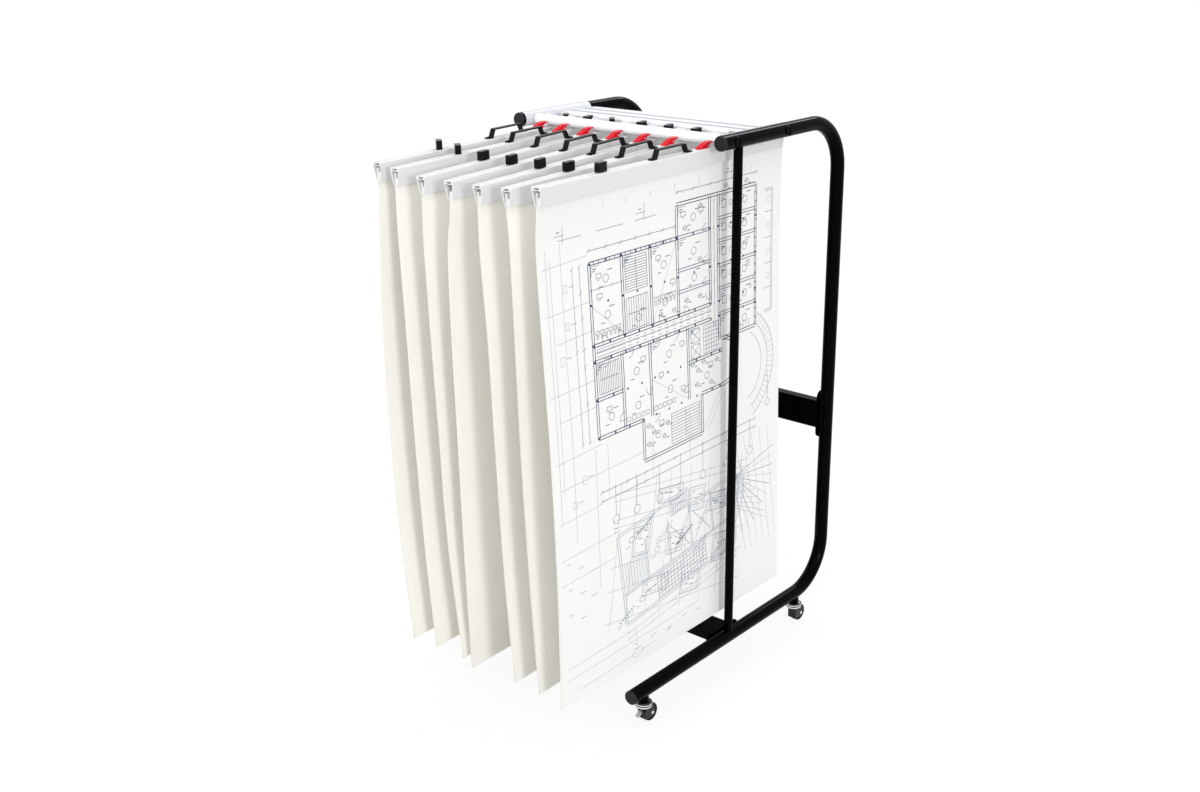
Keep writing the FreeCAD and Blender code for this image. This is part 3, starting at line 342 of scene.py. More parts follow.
BLACK_LACQUER = black_lacquer()
WHITE_LACQUER = white_lacquer()
RAIL_LACQUER = rail_lacquer()
CLAMP_WHITE = clamp_white()
SATIN_PLASTIC = moulded_black("satin_plastic", 0.28, 0.12)
KNOB_PLASTIC = moulded_black("knob_plastic", 0.10, 0.13)
CAP_PLASTIC = moulded_black("cap_plastic", 0.36, 0.24, dust=0.003)
RED_PLASTIC = red_plastic()
ZINC = zinc()
CASTOR_STEELS = {end: castor_steel(end) for end in ENDS}
TREADS = {end: castor_tread(end) for end in ENDS}
CREAM_PAPER = paper("cream_paper", (0.97, 0.956, 0.89), (0.98, 0.973, 0.935),
                    (0.95, 0.935, 0.85))
WHITE_PAPER = paper("white_paper", (0.88, 0.88, 0.865), (0.90, 0.90, 0.89),
                    (0.865, 0.865, 0.845))
DARK_INK = ink("dark_ink", (0.020, 0.034, 0.085), (0.050, 0.072, 0.15))
MIDDLE_INK = ink("middle_ink", (0.085, 0.115, 0.20), (0.17, 0.21, 0.31))
PALE_INK = ink("pale_ink", (0.36, 0.40, 0.48), (0.52, 0.55, 0.62))


def dress(material, *names):
    """Give CAD nodes a material."""
    for name in names:
        for slot in nodes[name].material_slots:
            slot.material = material


dress(BLACK_LACQUER, "left_side_frame", "right_side_frame", "mid_crossbar", "base_crossbar",
      "frame_bolts")
dress(WHITE_LACQUER, "front_beam")
dress(RAIL_LACQUER, "rear_rail")
dress(CAP_PLASTIC, "end_caps")
for side in SIDES:
    dress(ZINC, f"front_{side}_castor_brake")
    for end in ENDS:
        dress(CASTOR_STEELS[end], f"{end}_{side}_castor_fork")
        dress(TREADS[end], f"{end}_{side}_castor_wheel")
for number in CLAMPS:
    dress(CLAMP_WHITE, f"clamp_{number}_channel")
    dress(SATIN_PLASTIC, f"clamp_{number}_handle")
    dress(RED_PLASTIC, f"clamp_{number}_catch")
    dress(KNOB_PLASTIC, f"clamp_{number}_front_knob", f"clamp_{number}_rear_knob")


# ---- the loose sheets ----

SHEET_WIDTH = 0.841
SHEET_LENGTH = 1.176
SHEET_THICK = 0.00028
SHEETS_PER_PACK = 4
SHEET_PITCH = 0.00055
PRINTED_PACK = 7
# Places in a clamp's own frame, which starts on the beam's axis: a sheet's front edge, top edge
# and middle plane, the jaw's lower edge, and how much of a sheet the jaw holds.
SHEET_FRONT = -0.572
SHEET_TOP = -0.027
SHEET_PLANE = -0.0015
JAW_BOTTOM = -0.054
JAW_HOLD = SHEET_TOP - JAW_BOTTOM
# How far sheets differ in the jaw, and how far they bulge and ripple below it. The ripples grow
# from the jaw down to this share of a sheet's length.
SLIP_ALONG = 0.0016
SLIP_UPWARD = 0.0022
SWELL = 0.004
RIPPLE = 0.005
RIPPLE_START = 1 / 3
# How much wider than in the jaw the sheets fan out at the foot, and more so at its corners.
FAN_FOOT = 0.8
FAN_CORNERS = 0.6
# The faces of one sheet's mesh.
COLUMNS = 44
ROWS = 60
# Depths under the beam's axis where a pack's bend is set: at its top, at the jaw's mouth, at four
# places below and at its lower edge.
BEND_DEPTHS = (-SHEET_TOP, -JAW_BOTTOM, 0.146, 0.353, 0.594, 0.893, SHEET_LENGTH - SHEET_TOP)
# How far each pack's front and rear edges hang to the right of its jaw there, in millimetres.
FRONT_HANGS = {
    1: (0, 0, -5, -20, -26, -21, 2),
    2: (0, 0, -4, -4, -5, -2, 11),
    3: (0, 0, -7, -11, -13, -15, 3),
    4: (0, 0, -18, -30, -38, -48, -55),
    5: (0, 0, -4, 1, 0, 0, 9),
    6: (0, 0, 3, 2, 0, 4, 13),
    7: (0, 0, -6, 3, 15, 22, 21),
}
REAR_HANGS = {
    1: (0, 0, -3, -8, -12, -12, -4),
    2: (0, 0, -2, -6, -9, -8, -4),
    3: (0, 0, -2, -4, -6, -5, -1),
    4: (0, 0, -5, -9, -12, -14, -18),
    5: (0, 0, -2, -3, -5, -4, 0),
    6: (0, 0, 0, 2, 3, 1, 2),
    7: (0, 0, -2, -1, 4, 9, 14),
}
# How far a pack has slipped down in its jaw, in millimetres.
PACK_SLIPS = {3: 3, 4: 20, 5: 3}


def clamp_frame(number):
    """The clamp's own frame: its start on the beam's axis, X across it and Y towards its rear."""
    start = Vector(joints[f"clamp_{number}_slide"]["pos_m"])
    across = -Vector(joints[f"clamp_{number}_catch_lift"]["axis"]).normalized()
    upward = Vector(joints[f"clamp_{number}_front_knob_turn"]["axis"]).normalized()
    along = upward.cross(across)
    turn = Matrix((across, along, upward)).transposed().to_4x4()
    return Matrix.Translation(start) @ turn


def smooth_value(places, values, at):
    """A smooth curve through the values, read at one place."""
    last = len(places) - 1
    if at <= places[0]:
        return values[0]
    if at > places[last]:
        return values[last]

    def slope(k):
        """The slope between a point's neighbours, and none at the start."""
        if k == 0:
            return 0.0
        after = min(k + 1, last)
        return (values[after] - values[k - 1]) / (places[after] - places[k - 1])

    i = next(k for k in range(last) if at <= places[k + 1])
    width = places[i + 1] - places[i]
    t = (at - places[i]) / width
    return (values[i] * (2 * t**3 - 3 * t**2 + 1) + slope(i) * width * (t**3 - 2 * t**2 + t)
            + values[i + 1] * (3 * t**2 - 2 * t**3) + slope(i + 1) * width * (t**3 - t**2))


class Pack:
    """The curved surface that one clamp's sheets hang in."""

    def __init__(self, number):
        self.number = number
        self.frame = clamp_frame(number)
        self.slips = [self.slip(layer) for layer in range(SHEETS_PER_PACK)]
        self.front = [value * MM for value in FRONT_HANGS[number]]
        self.rear = [value * MM for value in REAR_HANGS[number]]

    def slip(self, layer):
        """How far a sheet sits along the jaw and up or down in it, compared with its pack."""
        seed = Vector((self.number * 1.31, layer * 2.17, 0.5))
        along = SLIP_ALONG * noise.noise(seed)
        upward = SLIP_UPWARD * noise.noise(seed + Vector((7.0, 0.0, 0.0)))
        return Vector((0.0, along, upward - PACK_SLIPS.get(self.number, 0) * MM))

    def offset(self, along, down, layer):
        """How far a sheet's point hangs to the right of the jaw's middle."""
        depth = down - SHEET_TOP
        share = along / SHEET_WIDTH
        front = smooth_value(BEND_DEPTHS, self.front, depth)
        rear = smooth_value(BEND_DEPTHS, self.rear, depth)
        weight = share * share * (3 - 2 * share)
        free = max(0.0, depth + JAW_BOTTOM) / SHEET_LENGTH
        swell = SWELL * math.sin(math.pi * share) * math.sin(math.pi * min(1.0, free))
        # About two ripples each way, which differ from pack to pack.
        seed = Vector((share * 2.2, free * 1.7, self.number * 3.7))
        grown = min(1.0, free / RIPPLE_START)
        ripple = RIPPLE * noise.noise(seed) * math.sin(math.pi * share) * grown
        fan = 1.0 + FAN_FOOT * free * free + FAN_CORNERS * free * abs(2 * share - 1) ** 3
        stack = (layer - (SHEETS_PER_PACK - 1) / 2) * SHEET_PITCH * fan
        return (1 - weight) * front + weight * rear + swell + ripple + stack

    def point(self, along, down, layer, lift=0.0):
        """A point of a sheet in the part's frame, from its front edge and its top edge."""
        x = SHEET_PLANE + self.offset(along, down, layer) + lift
        spot = Vector((x, SHEET_FRONT + along, SHEET_TOP - down))
        return self.frame @ (spot + self.slips[layer])


def new_object(name, builder, *materials):
    """A smooth mesh object from a bmesh."""
    mesh = bpy.data.meshes.new(name)
    builder.to_mesh(mesh)
    builder.free()
    for material in materials:
        mesh.materials.append(material)
    thing = bpy.data.objects.new(name, mesh)
    bpy.context.scene.collection.objects.link(thing)
    for face in mesh.polygons:
        face.use_smooth = True
    return thing


def hang_sheet(pack, layer):
    """One loose sheet, a little askew from its neighbours, with its real thickness."""
    name = f"clamp_{pack.number}_sheet_{layer + 1}"
    builder = bmesh.new()
    grid = []
    for row in range(ROWS + 1):
        down = SHEET_LENGTH * row / ROWS
        line = []
        for column in range(COLUMNS + 1):
            along = SHEET_WIDTH * column / COLUMNS
            line.append(builder.verts.new(pack.point(along, down, layer)))
        grid.append(line)
    for row in range(ROWS):
        for column in range(COLUMNS):
            builder.faces.new((grid[row][column], grid[row][column + 1],
                               grid[row + 1][column + 1], grid[row + 1][column]))
    # The rim stays crisp once the sheet has its thickness.
    for edge in builder.edges:
        edge.smooth = not edge.is_boundary
    printed_face = pack.number == PRINTED_PACK and layer == SHEETS_PER_PACK - 1
    sheet = new_object(name, builder, WHITE_PAPER if printed_face else CREAM_PAPER)
    thicken = sheet.modifiers.new("thickness", "SOLIDIFY")
    thicken.thickness = SHEET_THICK
    thicken.offset = 0.0
    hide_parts(f"clamp_{pack.number}_plans")
    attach(sheet, f"clamp_{pack.number}")
    return sheet


packs = {number: Pack(number) for number in CLAMPS}
sheets = {number: [hang_sheet(packs[number], layer) for layer in range(SHEETS_PER_PACK)]
          for number in CLAMPS}


# ---- the drawing on the nearest sheet ----

# The inks, in the order of the print's material slots.
DARK, MIDDLE, PALE = 0, 1, 2
# In millimetres: a wall's thickness, the widths of a fine line, a label's bar and a bold line,
# and the longest stretch of a line that stays straight while the sheet bends.
WALL = 7.0
FINE = 1.15
LABEL = 1.9
BOLD = 2.0
STEP = 18.0
# How far the print lies from its sheet's middle plane, and each ink above the next paler one.
PRINT_LIFT = 0.00026
TONE_LIFT = 0.00003


class Drawing:
    """Line work on a sheet, in millimetres from its front edge and from the jaw's lower edge."""

    def __init__(self, pack, layer):
        self.pack = pack
        self.layer = layer
        self.strokes = []
        self.turn = (0.0, 0.0, 0.0)

    def set_turn(self, degrees=0.0, centre=(0.0, 0.0)):
        """Turn what is drawn next about a centre."""
        self.turn = (math.radians(degrees), *centre)

    def turned(self, spot):
        """A spot after the turn."""
        angle, centre_x, centre_y = self.turn
        x, y = spot[0] - centre_x, spot[1] - centre_y
        return (centre_x + x * math.cos(angle) - y * math.sin(angle),
                centre_y + x * math.sin(angle) + y * math.cos(angle))

    def line(self, start, end, width=FINE, tone=DARK):
        """One straight stroke."""
        self.strokes.append((self.turned(start), self.turned(end), width, tone))

    def path(self, spots, width=FINE, tone=DARK, closed=False):
        """Strokes from spot to spot."""
        for start, end in zip(spots, spots[1:]):
            self.line(start, end, width, tone)
        if closed:
            self.line(spots[-1], spots[0], width, tone)

    def box(self, low, high, width=FINE, tone=DARK):
        """A rectangle between two corners."""
        corners = [low, (high[0], low[1]), high, (low[0], high[1])]
        self.path(corners, width, tone, closed=True)

    def arc(self, centre, radius, start=0.0, end=360.0, width=FINE, tone=DARK, flat=1.0):
        """Short strokes round a centre, more of them on a wider arc. Flat squashes it."""
        count = max(4, int(abs(end - start) / 360.0 * (10 + radius * 0.5)))
        angles = [math.radians(start + (end - start) * i / count) for i in range(count + 1)]
        self.path([(centre[0] + radius * math.cos(a), centre[1] + radius * flat * math.sin(a))
                   for a in angles], width, tone)

    def wall(self, start, end, tone=DARK, thick=WALL):
        """A wall of two lines."""
        dx, dy = end[0] - start[0], end[1] - start[1]
        length = math.hypot(dx, dy)
        across = (-dy / length * thick / 2, dx / length * thick / 2)
        for side in (-1, 1):
            shift = (across[0] * side, across[1] * side)
            self.line((start[0] + shift[0], start[1] + shift[1]),
                      (end[0] + shift[0], end[1] + shift[1]), BOLD, tone)

    def walls(self, spots, tone=DARK, thick=WALL):
        """Walls from spot to spot."""
        for start, end in zip(spots, spots[1:]):
            self.wall(start, end, tone, thick)

    def stairs(self, low, high, count, upright=True, tone=DARK):
        """Treads between two corners, with the line that a person walks."""
        self.box(low, high, FINE, tone)
        for i in range(1, count):
            share = i / count
            if upright:
                y = low[1] + (high[1] - low[1]) * share
                self.line((low[0], y), (high[0], y), FINE, tone)
            else:
                x = low[0] + (high[0] - low[0]) * share
                self.line((x, low[1]), (x, high[1]), FINE, tone)
        middle = ((low[0] + high[0]) / 2, (low[1] + high[1]) / 2)
        if upright:
            self.line((middle[0], low[1] + 4), (middle[0], high[1] - 4), FINE, tone)
        else:
            self.line((low[0] + 4, middle[1]), (high[0] - 4, middle[1]), FINE, tone)

    def door(self, hinge, radius, start, tone=DARK):
        """A door leaf and its quarter swing."""
        self.arc(hinge, radius, start, start + 90.0, FINE, tone)
        angle = math.radians(start)
        leaf = (hinge[0] + radius * math.cos(angle), hinge[1] + radius * math.sin(angle))
        self.line(hinge, leaf, FINE, tone)

    def chain(self, spots, tone=DARK, tick=4.0):
        """A dimension line with a slanted tick at every spot."""
        self.line(spots[0], spots[-1], FINE, tone)
        for x, y in spots:
            self.line((x - tick, y + tick), (x + tick, y - tick), FINE, tone)

    def bubble(self, spot, radius, stem, tone=DARK):
        """A grid mark: a ring on a long stem."""
        self.arc(spot, radius, width=FINE, tone=tone)
        self.line((spot[0], spot[1] - radius), (spot[0], spot[1] - radius - stem), FINE, tone)

    def label(self, spot, length, tone=MIDDLE):
        """A bar in the place of a note."""
        self.line(spot, (spot[0] + length, spot[1]), LABEL, tone)

    def grid(self, low, high, columns, rows, tone=DARK):
        """Paving between two corners."""
        for i in range(columns + 1):
            x = low[0] + (high[0] - low[0]) * i / columns
            self.line((x, low[1]), (x, high[1]), FINE, tone)
        for i in range(rows + 1):
            y = low[1] + (high[1] - low[1]) * i / rows
            self.line((low[0], y), (high[0], y), FINE, tone)

    def place(self, spot, lift):
        """A spot of the drawing on the bent sheet, in the part's frame."""
        down = JAW_HOLD + spot[1] * MM
        return self.pack.point(spot[0] * MM, down, self.layer, lift)

    def build(self, name):
        """Thin raised ribbons on the sheet, one mesh with one material for each tone."""
        builder = bmesh.new()
        for start, end, width, tone in self.strokes:
            dx, dy = end[0] - start[0], end[1] - start[1]
            length = math.hypot(dx, dy)
            if length == 0.0:
                continue
            across = (-dy / length * width / 2, dx / length * width / 2)
            count = max(1, math.ceil(length / STEP))
            lift = PRINT_LIFT + (PALE - tone) * TONE_LIFT
            pairs = []
            for i in range(count + 1):
                x = start[0] + dx * i / count
                y = start[1] + dy * i / count
                pairs.append([builder.verts.new(self.place((x + side * across[0],
                                                            y + side * across[1]), lift))
                              for side in (-1, 1)])
            for (a, b), (c, d) in zip(pairs, pairs[1:]):
                face = builder.faces.new((a, b, d, c))
                face.material_index = tone
        return new_object(name, builder, DARK_INK, MIDDLE_INK, PALE_INK)


def main_plan(plan):
    """The storey in the middle of the sheet: rooms, stairs, lifts and a rounded bay."""
    plan.walls([(150, 150), (440, 150), (440, 74), (738, 74), (738, 424), (604, 424)])
    plan.walls([(604, 540), (520, 540), (520, 640), (300, 640), (300, 540), (150, 540),
                (150, 150)])
    for radius in (54, 62):
        plan.arc((604, 482), radius, -90, 90, BOLD)
    for y in (330, 366):
        plan.wall((150, y), (560, y))
    for x in (252, 346, 440):
        plan.wall((x, 150), (x, 330))
    for x in (238, 332, 470):
        plan.wall((x, 366), (x, 540))
    plan.wall((150, 452), (238, 452))
    plan.wall((470, 452), (604, 452))
    plan.wall((560, 74), (560, 330))
    plan.wall((592, 74), (592, 424))
    for y in (132, 186, 244, 300, 362):
        plan.wall((592, y), (738, y), MIDDLE)
        plan.box((606, y - 40), (622, y - 22))
        plan.arc((640, y - 30), 6)
        plan.door((660, y), 15, -90)
    for y in (150, 226, 276):
        plan.wall((440, y), (560, y), MIDDLE)
        plan.door((548, y), 15, 180)
    plan.stairs((262, 160), (334, 236), 13)
    plan.stairs((262, 250), (334, 322), 9, upright=False)
    plan.stairs((160, 376), (228, 442), 12, upright=False)
    plan.stairs((400, 556), (510, 630), 10)
    for y in (376, 414):
        plan.box((482, y), (516, y + 32))
        plan.line((482, y), (516, y + 32))
        plan.line((516, y), (482, y + 32))
    plan.grid((530, 376), (590, 444), 6, 7, MIDDLE)
    for x, y in ((200, 190), (200, 270), (300, 300), (392, 200), (392, 286), (500, 112),
                 (500, 190), (500, 252), (284, 420), (284, 500), (400, 410), (400, 494),
                 (540, 500), (194, 500), (350, 590), (694, 104), (694, 160), (694, 216),
                 (694, 272), (694, 332), (694, 394)):
        plan.arc((x, y), 9)
        plan.label((x - 22, y + 16), 13)
        plan.label((x + 6, y - 17), 17)
    for x, y, start in ((180, 330, -90), (232, 330, -90), (370, 330, -90), (460, 330, -90),
                        (180, 366, 0), (260, 366, 0), (352, 366, 0), (420, 366, 0),
                        (332, 470, 90), (470, 520, 180), (238, 520, 180), (340, 540, 0),
                        (560, 300, 90)):
        plan.door((x, y), 18, start)
    for x, y in ((170, 176), (170, 220), (366, 176), (414, 240), (456, 94), (520, 94), (300, 392),
                 (360, 446), (440, 392), (440, 500), (356, 560), (548, 470), (180, 476)):
        plan.box((x, y), (x + 16, y + 10))
        plan.line((x + 4, y + 14), (x + 12, y + 14))
    for x in range(164, 436, 17):
        plan.line((x, 146), (x, 154), BOLD, MIDDLE)
    for x in range(452, 730, 14):
        plan.line((x, 70), (x + 8, 70), BOLD)
    for y in range(90, 420, 22):
        plan.line((734, y), (742, y + 9), BOLD, MIDDLE)


def details(plan):
    """Columns, fittings and notes that fill the rooms of the main storey."""
    for x in (150, 204, 252, 300, 346, 393, 440, 500, 560, 592, 640, 690, 738):
        for y in (150, 240, 330, 366, 452, 540):
            if x < 600 or y < 420:
                plan.line((x - 2.5, y), (x + 2.5, y), 5.0)
    for x, y in ((156, 158), (258, 158), (352, 158), (446, 82), (446, 158), (156, 374),
                 (338, 374), (478, 374), (598, 82), (598, 140), (598, 196), (598, 252),
                 (598, 310), (598, 370)):
        plan.line((x, y), (x + 26, y), FINE, MIDDLE)
        plan.line((x, y), (x, y + 22), FINE, MIDDLE)
        plan.label((x + 4, y + 6), 12, DARK)
        plan.label((x + 4, y + 11), 8)
    for i in range(6):
        x = 356 + 13 * i
        plan.box((x, 268), (x + 9, 278))
        plan.arc((x + 4.5, 284), 3.4)
        plan.box((160 + 14 * i, 300), (170 + 14 * i, 308))
        plan.arc((165 + 14 * i, 314), 3.4)
    for i in range(5):
        plan.box((338 + 17 * i, 520), (350 + 17 * i, 530))
        plan.box((246 + 16 * i, 520), (257 + 16 * i, 530), tone=MIDDLE)
        plan.box((664 + 13 * i, 92 + 56 * i), (690 + 8 * i, 100 + 56 * i))
        plan.line((664 + 12 * i, 400), (664 + 12 * i, 418))
    for y in (340, 348, 356):
        plan.path([(158, y), (250, y), (252, y - 2)], FINE, MIDDLE)
        for x in range(260, 556, 26):
            plan.line((x, y), (x + 12, y), FINE, MIDDLE)
    for x, y in ((486, 460), (506, 478), (528, 462), (500, 512), (556, 520), (580, 470),
                 (318, 560), (336, 580), (316, 604), (372, 600), (386, 572), (526, 90),
                 (470, 132), (522, 214), (470, 300), (520, 300), (620, 60), (700, 60),
                 (376, 312), (424, 312)):
        plan.arc((x, y), 5.5)
        plan.line((x - 9, y), (x + 9, y))
        plan.label((x + 8, y + 7), 9, DARK)
    for start, end in (((520, 640), (604, 540)), ((540, 640), (604, 562)),
                       ((604, 424), (560, 366)), ((440, 150), (346, 330)),
                       ((252, 330), (150, 240)), ((470, 540), (332, 452))):
        plan.line(start, end, FINE, PALE)


def overlay(plan):
    """Faint survey lines and a site layout that run over the foot of the sheet."""
    plan.set_turn(9.0, (420, 860))
    for y in (724, 742, 788, 806, 902, 960, 1040):
        plan.line((170, y), (700, y), FINE, PALE)
    for x in (190, 246, 316, 372, 452, 530, 596, 662):
        plan.line((x, 700), (x, 1060), FINE, PALE)
    for x, y, wide, tall in ((330, 740, 84, 36), (456, 760, 60, 60), (250, 820, 58, 70),
                             (540, 790, 70, 44), (380, 860, 60, 52), (570, 900, 56, 74),
                             (300, 960, 96, 40), (450, 980, 72, 50)):
        plan.box((x, y), (x + wide, y + tall), FINE, MIDDLE)
        plan.box((x + 7, y + 7), (x + wide - 7, y + tall - 7), FINE, PALE)
        for i in range(5):
            plan.label((x + 10 + 9 * i, y + 12 + (i * 17) % (tall - 20)), 6 + (i * 5) % 9)
    plan.set_turn()
    for i in range(46):
        x, y = 190 + (i * 73) % 430, 770 + (i * 41) % 250
        plan.label((x, y), 6 + (i * 7) % 14, (DARK, MIDDLE, PALE)[i % 3])
        plan.line((x, y + 5), (x, y + 12 + i % 9), FINE, MIDDLE)
    for i in range(13):
        angle = math.radians(-12 + 9 * i)
        plan.line((650, 800), (650 + 170 * math.cos(angle), 800 + 170 * math.sin(angle)), FINE,
                  (MIDDLE, PALE)[i % 2])


def dimensions(plan):
    """The chains of measures round the plan, and the row of grid marks under it."""
    plan.chain([(x, 122) for x in (150, 204, 252, 300, 346, 392, 432)])
    plan.chain([(x, 46) for x in (440, 500, 560, 592, 660, 738)])
    plan.chain([(120, y) for y in (150, 206, 262, 330, 366, 452, 540)], MIDDLE)
    plan.chain([(98, y) for y in (150, 330, 540)], MIDDLE)
    plan.chain([(x, 668) for x in (150, 238, 300, 410, 520, 604, 738)])
    plan.chain([(x, 690) for x in (150, 300, 520, 738)])
    plan.chain([(x, 208) for x in (150, 176, 220, 252)], MIDDLE, 3.0)
    plan.chain([(x, 346) for x in (160, 210, 282, 350, 410, 480, 560)], MIDDLE, 3.0)
    plan.chain([(576, y) for y in (86, 150, 226, 276, 330, 380)], MIDDLE, 3.0)
    plan.chain([(664, y) for y in (84, 140, 190, 250, 310, 366, 416)], MIDDLE, 3.0)
    for x in (196, 268, 350, 432, 520, 616, 716):
        plan.bubble((x, 748), 11, 74, MIDDLE)
        plan.line((x, 24), (x, 40), FINE, PALE)
    for start, end, y in ((60, 130, 84), (176, 262, 84), (300, 372, 84)):
        plan.line((start, y), (end, y), FINE, MIDDLE)
    for x, y in ((74, 70), (330, 66), (640, 26)):
        plan.line((x, y - 16), (x, y + 22), FINE, MIDDLE)
        plan.line((x - 26, y + 4), (x + 4, y + 4), FINE, MIDDLE)
        plan.label((x - 18, y - 4), 9)
    for x in (176, 330, 470, 610):
        plan.line((x, 560), (x, 690), FINE, PALE)


def garden(plan):
    """A terrace, curved steps and sight lines to the right of the plan."""
    for radius in (96, 122, 148):
        plan.arc((668, 520), radius, -58, 66, FINE, MIDDLE)
    for i in range(22):
        angle = math.radians(-56 + 5.6 * i)
        inner = (668 + 122 * math.cos(angle), 520 + 122 * math.sin(angle))
        outer = (668 + 148 * math.cos(angle), 520 + 148 * math.sin(angle))
        plan.line(inner, outer, FINE, PALE)
    plan.walls([(776, 96), (806, 96), (806, 398), (776, 398)], PALE, 5.0)
    for y in (150, 214, 278, 340):
        plan.line((776, y), (806, y), FINE, MIDDLE)
        plan.arc((791, y - 30), 7, tone=PALE)
    for i in range(6):
        plan.line((620 + i * 34, 700), (700 + i * 26, 1020), FINE, PALE)
    plan.arc((792, 640), 9, tone=MIDDLE)
    plan.line((792, 631), (792, 560), FINE, MIDDLE)


def second_plan(plan):
    """A fainter drawing lower on the sheet, turned a little, with a paved court."""
    plan.set_turn(-7.0, (400, 880))
    plan.walls([(210, 770), (470, 770), (470, 820), (640, 820), (640, 1010), (210, 1010),
                (210, 770)], PALE)
    for x in (300, 386, 470, 556):
        plan.wall((x, 820), (x, 930), PALE, 5.0)
    plan.wall((210, 930), (640, 930), PALE, 5.0)
    plan.grid((330, 938), (520, 1002), 15, 6, MIDDLE)
    plan.grid((222, 850), (292, 922), 7, 8, PALE)
    plan.stairs((400, 776), (460, 812), 9, upright=False, tone=MIDDLE)
    for x in (398, 484):
        plan.line((x, 840), (x + 62, 918), FINE, MIDDLE)
        plan.line((x + 62, 840), (x, 918), FINE, MIDDLE)
    for x, y in ((256, 800), (340, 870), (430, 880), (512, 880), (600, 880), (580, 970),
                 (270, 970)):
        plan.arc((x, y), 10, tone=MIDDLE, flat=0.7)
        plan.label((x + 12, y - 12), 22, PALE)
        plan.label((x - 24, y + 14), 16, PALE)
    for y in (1034, 1050):
        plan.chain([(x, y) for x in (210, 300, 386, 470, 556, 640)], PALE)
    for i in range(9):
        plan.line((560, 850), (700 + 10 * i, 800 + 26 * i), FINE, PALE)
    for radius in (110, 134):
        plan.arc((560, 850), radius, -20, 60, FINE, MIDDLE)
    for x, y in ((236, 1102), (604, 1090)):
        plan.arc((x, y), 19, tone=PALE, flat=0.62)
        plan.line((x, y - 12), (x, 1034), FINE, PALE)
    plan.set_turn()


def margins(plan):
    """Faint setting-out lines at the front and foot of the sheet."""
    for x, low, high in ((22, 96, 700), (34, 120, 640), (66, 90, 760), (136, 560, 900)):
        plan.line((x, low), (x, high), FINE, PALE)
    for y, low, high in ((136, 12, 146), (236, 10, 150), (300, 40, 150), (410, 8, 150),
                         (470, 30, 150), (560, 14, 160), (622, 20, 300), (700, 12, 150),
                         (786, 12, 210), (846, 10, 190), (1060, 24, 240), (1088, 24, 500),
                         (1126, 60, 330)):
        plan.line((low, y), (high, y - 6), FINE, PALE)
    for x, y, size in ((70, 180, 10), (70, 260, 10), (48, 330, 12), (92, 610, 12), (60, 660, 10)):
        plan.box((x, y), (x + size, y + size * 1.6), FINE, PALE)
        plan.label((x + size + 6, y + 6), 16, PALE)
    for i in range(8):
        plan.label((30 + (i * 37) % 110, 800 + i * 21), 12 + (i * 5) % 14, PALE)
        plan.label((250 + (i * 61) % 300, 1096 + (i * 7) % 20), 10 + (i * 3) % 12, PALE)


plan = Drawing(packs[PRINTED_PACK], SHEETS_PER_PACK - 1)
for draw in (margins, overlay, second_plan, garden, dimensions, main_plan, details):
    draw(plan)
drawing = plan.build("floor_plan_print")
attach(drawing, f"clamp_{PRINTED_PACK}")


# ---- camera, floor and light ----

# The camera: the photograph's width and its focal length in pixels, a sensor's width in
# millimetres, where the camera stands, and how it is turned.
PHOTO_WIDTH = 1200.0
FOCAL_PIXELS = 1377.7304
SENSOR = 36.0
CAMERA_SPOT = Vector((2.11663, -2.46978, 1.84540))
CAMERA_YAW = math.radians(41.218)
CAMERA_PITCH = math.radians(19.591)
CAMERA_ROLL = math.radians(-0.760)
# The floor: its grey, how much of what is seen of it is its own glow, how strong that is, and
# how far it reaches each way.
FLOOR_GREY = 0.48
GLOW_SHARE = 0.72
GLOW_STRENGTH = 1.20
FLOOR_REACH = 60.0
# The white all round, as a light on the rack and as a backdrop that is seen.
WORLD_LIGHT = 0.91
WORLD_SEEN = 1.0
# Soft lamps: name, strength, softness in degrees, height in degrees, and degrees from the
# right-hand side round towards the front. The key gives the shadows between the packs, the fill
# and the left lamp open them, and the back lamp lifts the tops.
LAMPS = (
    ("key", 0.94, 12.0, 10.0, 24.0),
    ("fill", 0.40, 50.0, 40.0, 55.0),
    ("left", 0.80, 30.0, 14.0, 112.0),
    ("back", 0.50, 12.0, 37.0, 262.0),
)


def add_camera():
    """The view of the photograph."""
    ahead = Vector((-math.sin(CAMERA_YAW) * math.cos(CAMERA_PITCH),
                    math.cos(CAMERA_YAW) * math.cos(CAMERA_PITCH), -math.sin(CAMERA_PITCH)))
    level = ahead.cross(Vector((0, 0, 1))).normalized()
    over = level.cross(ahead)
    right = math.cos(CAMERA_ROLL) * level + math.sin(CAMERA_ROLL) * over
    upward = math.cos(CAMERA_ROLL) * over - math.sin(CAMERA_ROLL) * level
    data = bpy.data.cameras.new("camera")
    data.sensor_width = SENSOR
    data.lens = FOCAL_PIXELS / PHOTO_WIDTH * SENSOR
    data.clip_end = 200.0
    camera = bpy.data.objects.new("camera", data)
    turn = Matrix((right, upward, -ahead)).transposed().to_4x4()
    camera.matrix_world = Matrix.Translation(CAMERA_SPOT) @ turn
    bpy.context.scene.collection.objects.link(camera)
    bpy.context.scene.camera = camera


def seen_directly(tree):
    """A factor that is 1 for what the camera, gloss and glass see, and 0 for stray light."""
    path = tree.nodes.new("ShaderNodeLightPath")
    total = path.outputs["Is Camera Ray"]
    for name in ("Is Glossy Ray", "Is Transmission Ray"):
        add = tree.nodes.new("ShaderNodeMath")
        add.operation = "ADD"
        add.use_clamp = True
        tree.links.new(total, add.inputs[0])
        tree.links.new(path.outputs[name], add.inputs[1])
        total = add.outputs["Value"]
    return total


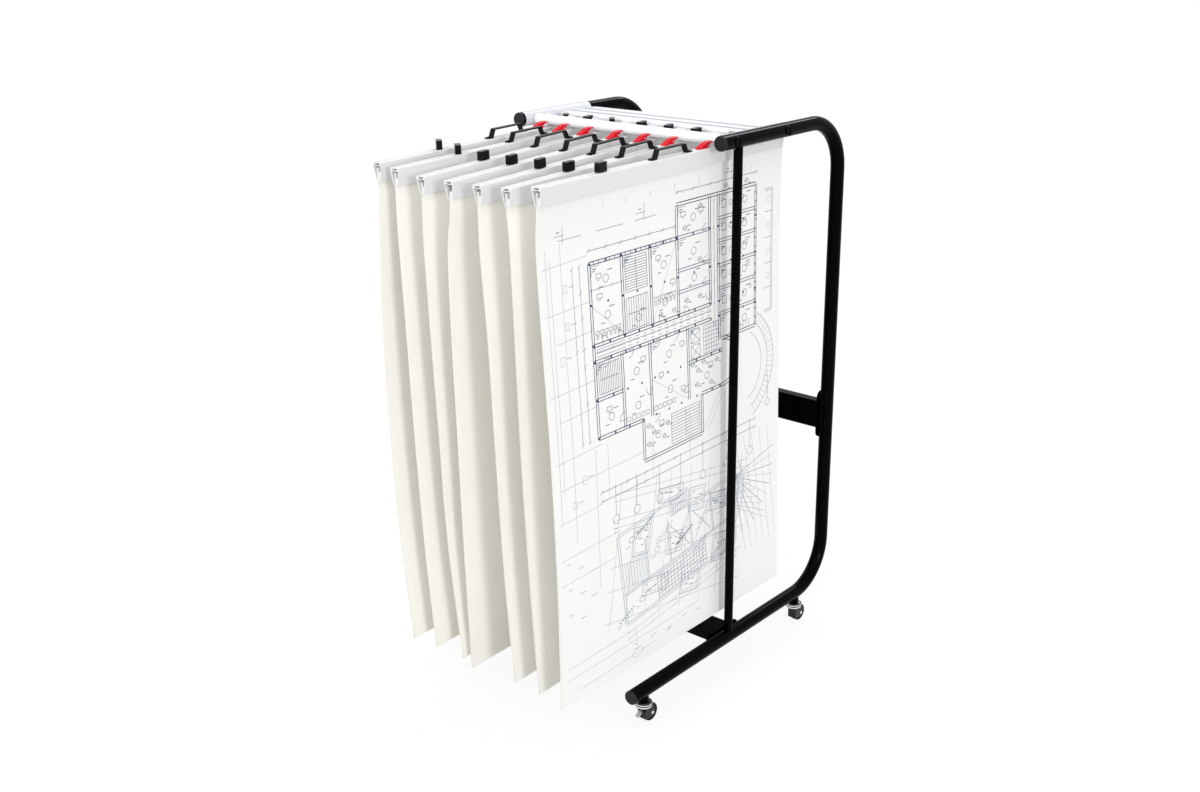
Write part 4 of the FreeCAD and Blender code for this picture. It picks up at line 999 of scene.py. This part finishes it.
def add_floor():
    """A wide pale floor that reads as white and keeps a soft shadow."""
    material = bpy.data.materials.new("studio_floor")
    material.use_nodes = True
    tree = material.node_tree
    shader = tree.nodes["Principled BSDF"]
    shader.inputs["Base Color"].default_value = (FLOOR_GREY, FLOOR_GREY, FLOOR_GREY, 1.0)
    shader.inputs["Roughness"].default_value = 0.9
    shader.inputs["Specular IOR Level"].default_value = 0.0
    glow = tree.nodes.new("ShaderNodeEmission")
    mix = tree.nodes.new("ShaderNodeMixShader")
    share = tree.nodes.new("ShaderNodeMath")
    share.operation = "MULTIPLY"
    share.inputs[1].default_value = GLOW_SHARE
    tree.links.new(seen_directly(tree), share.inputs[0])
    glow.inputs["Strength"].default_value = GLOW_STRENGTH
    tree.links.new(share.outputs["Value"], mix.inputs["Fac"])
    tree.links.new(shader.outputs["BSDF"], mix.inputs[1])
    tree.links.new(glow.outputs["Emission"], mix.inputs[2])
    tree.links.new(mix.outputs["Shader"], tree.nodes["Material Output"].inputs["Surface"])
    builder = bmesh.new()
    corners = [builder.verts.new((x * FLOOR_REACH, y * FLOOR_REACH, 0.0))
               for x, y in ((-1, -1), (1, -1), (1, 1), (-1, 1))]
    builder.faces.new(corners)
    new_object("studio_floor", builder, material)


def add_light():
    """Even light from all round, and the soft lamps."""
    world = bpy.data.worlds.new("studio")
    world.use_nodes = True
    tree = world.node_tree
    background = tree.nodes["Background"]
    background.inputs["Color"].default_value = (1.0, 1.0, 1.0, 1.0)
    strength = tree.nodes.new("ShaderNodeMapRange")
    strength.inputs["To Min"].default_value = WORLD_LIGHT
    strength.inputs["To Max"].default_value = WORLD_SEEN
    tree.links.new(seen_directly(tree), strength.inputs["Value"])
    tree.links.new(strength.outputs["Result"], background.inputs["Strength"])
    bpy.context.scene.world = world
    for name, energy, softness, elevation, ahead in LAMPS:
        lamp = bpy.data.lights.new(name, "SUN")
        lamp.energy = energy
        lamp.angle = math.radians(softness)
        thing = bpy.data.objects.new(name, lamp)
        elevation = math.radians(elevation)
        ahead = math.radians(ahead)
        toward = Vector((math.cos(elevation) * math.cos(ahead),
                         -math.cos(elevation) * math.sin(ahead), math.sin(elevation)))
        thing.rotation_euler = toward.to_track_quat("Z", "Y").to_euler()
        bpy.context.scene.collection.objects.link(thing)


add_camera()
add_floor()
add_light()
bpy.context.scene.view_settings.view_transform = "Standard"
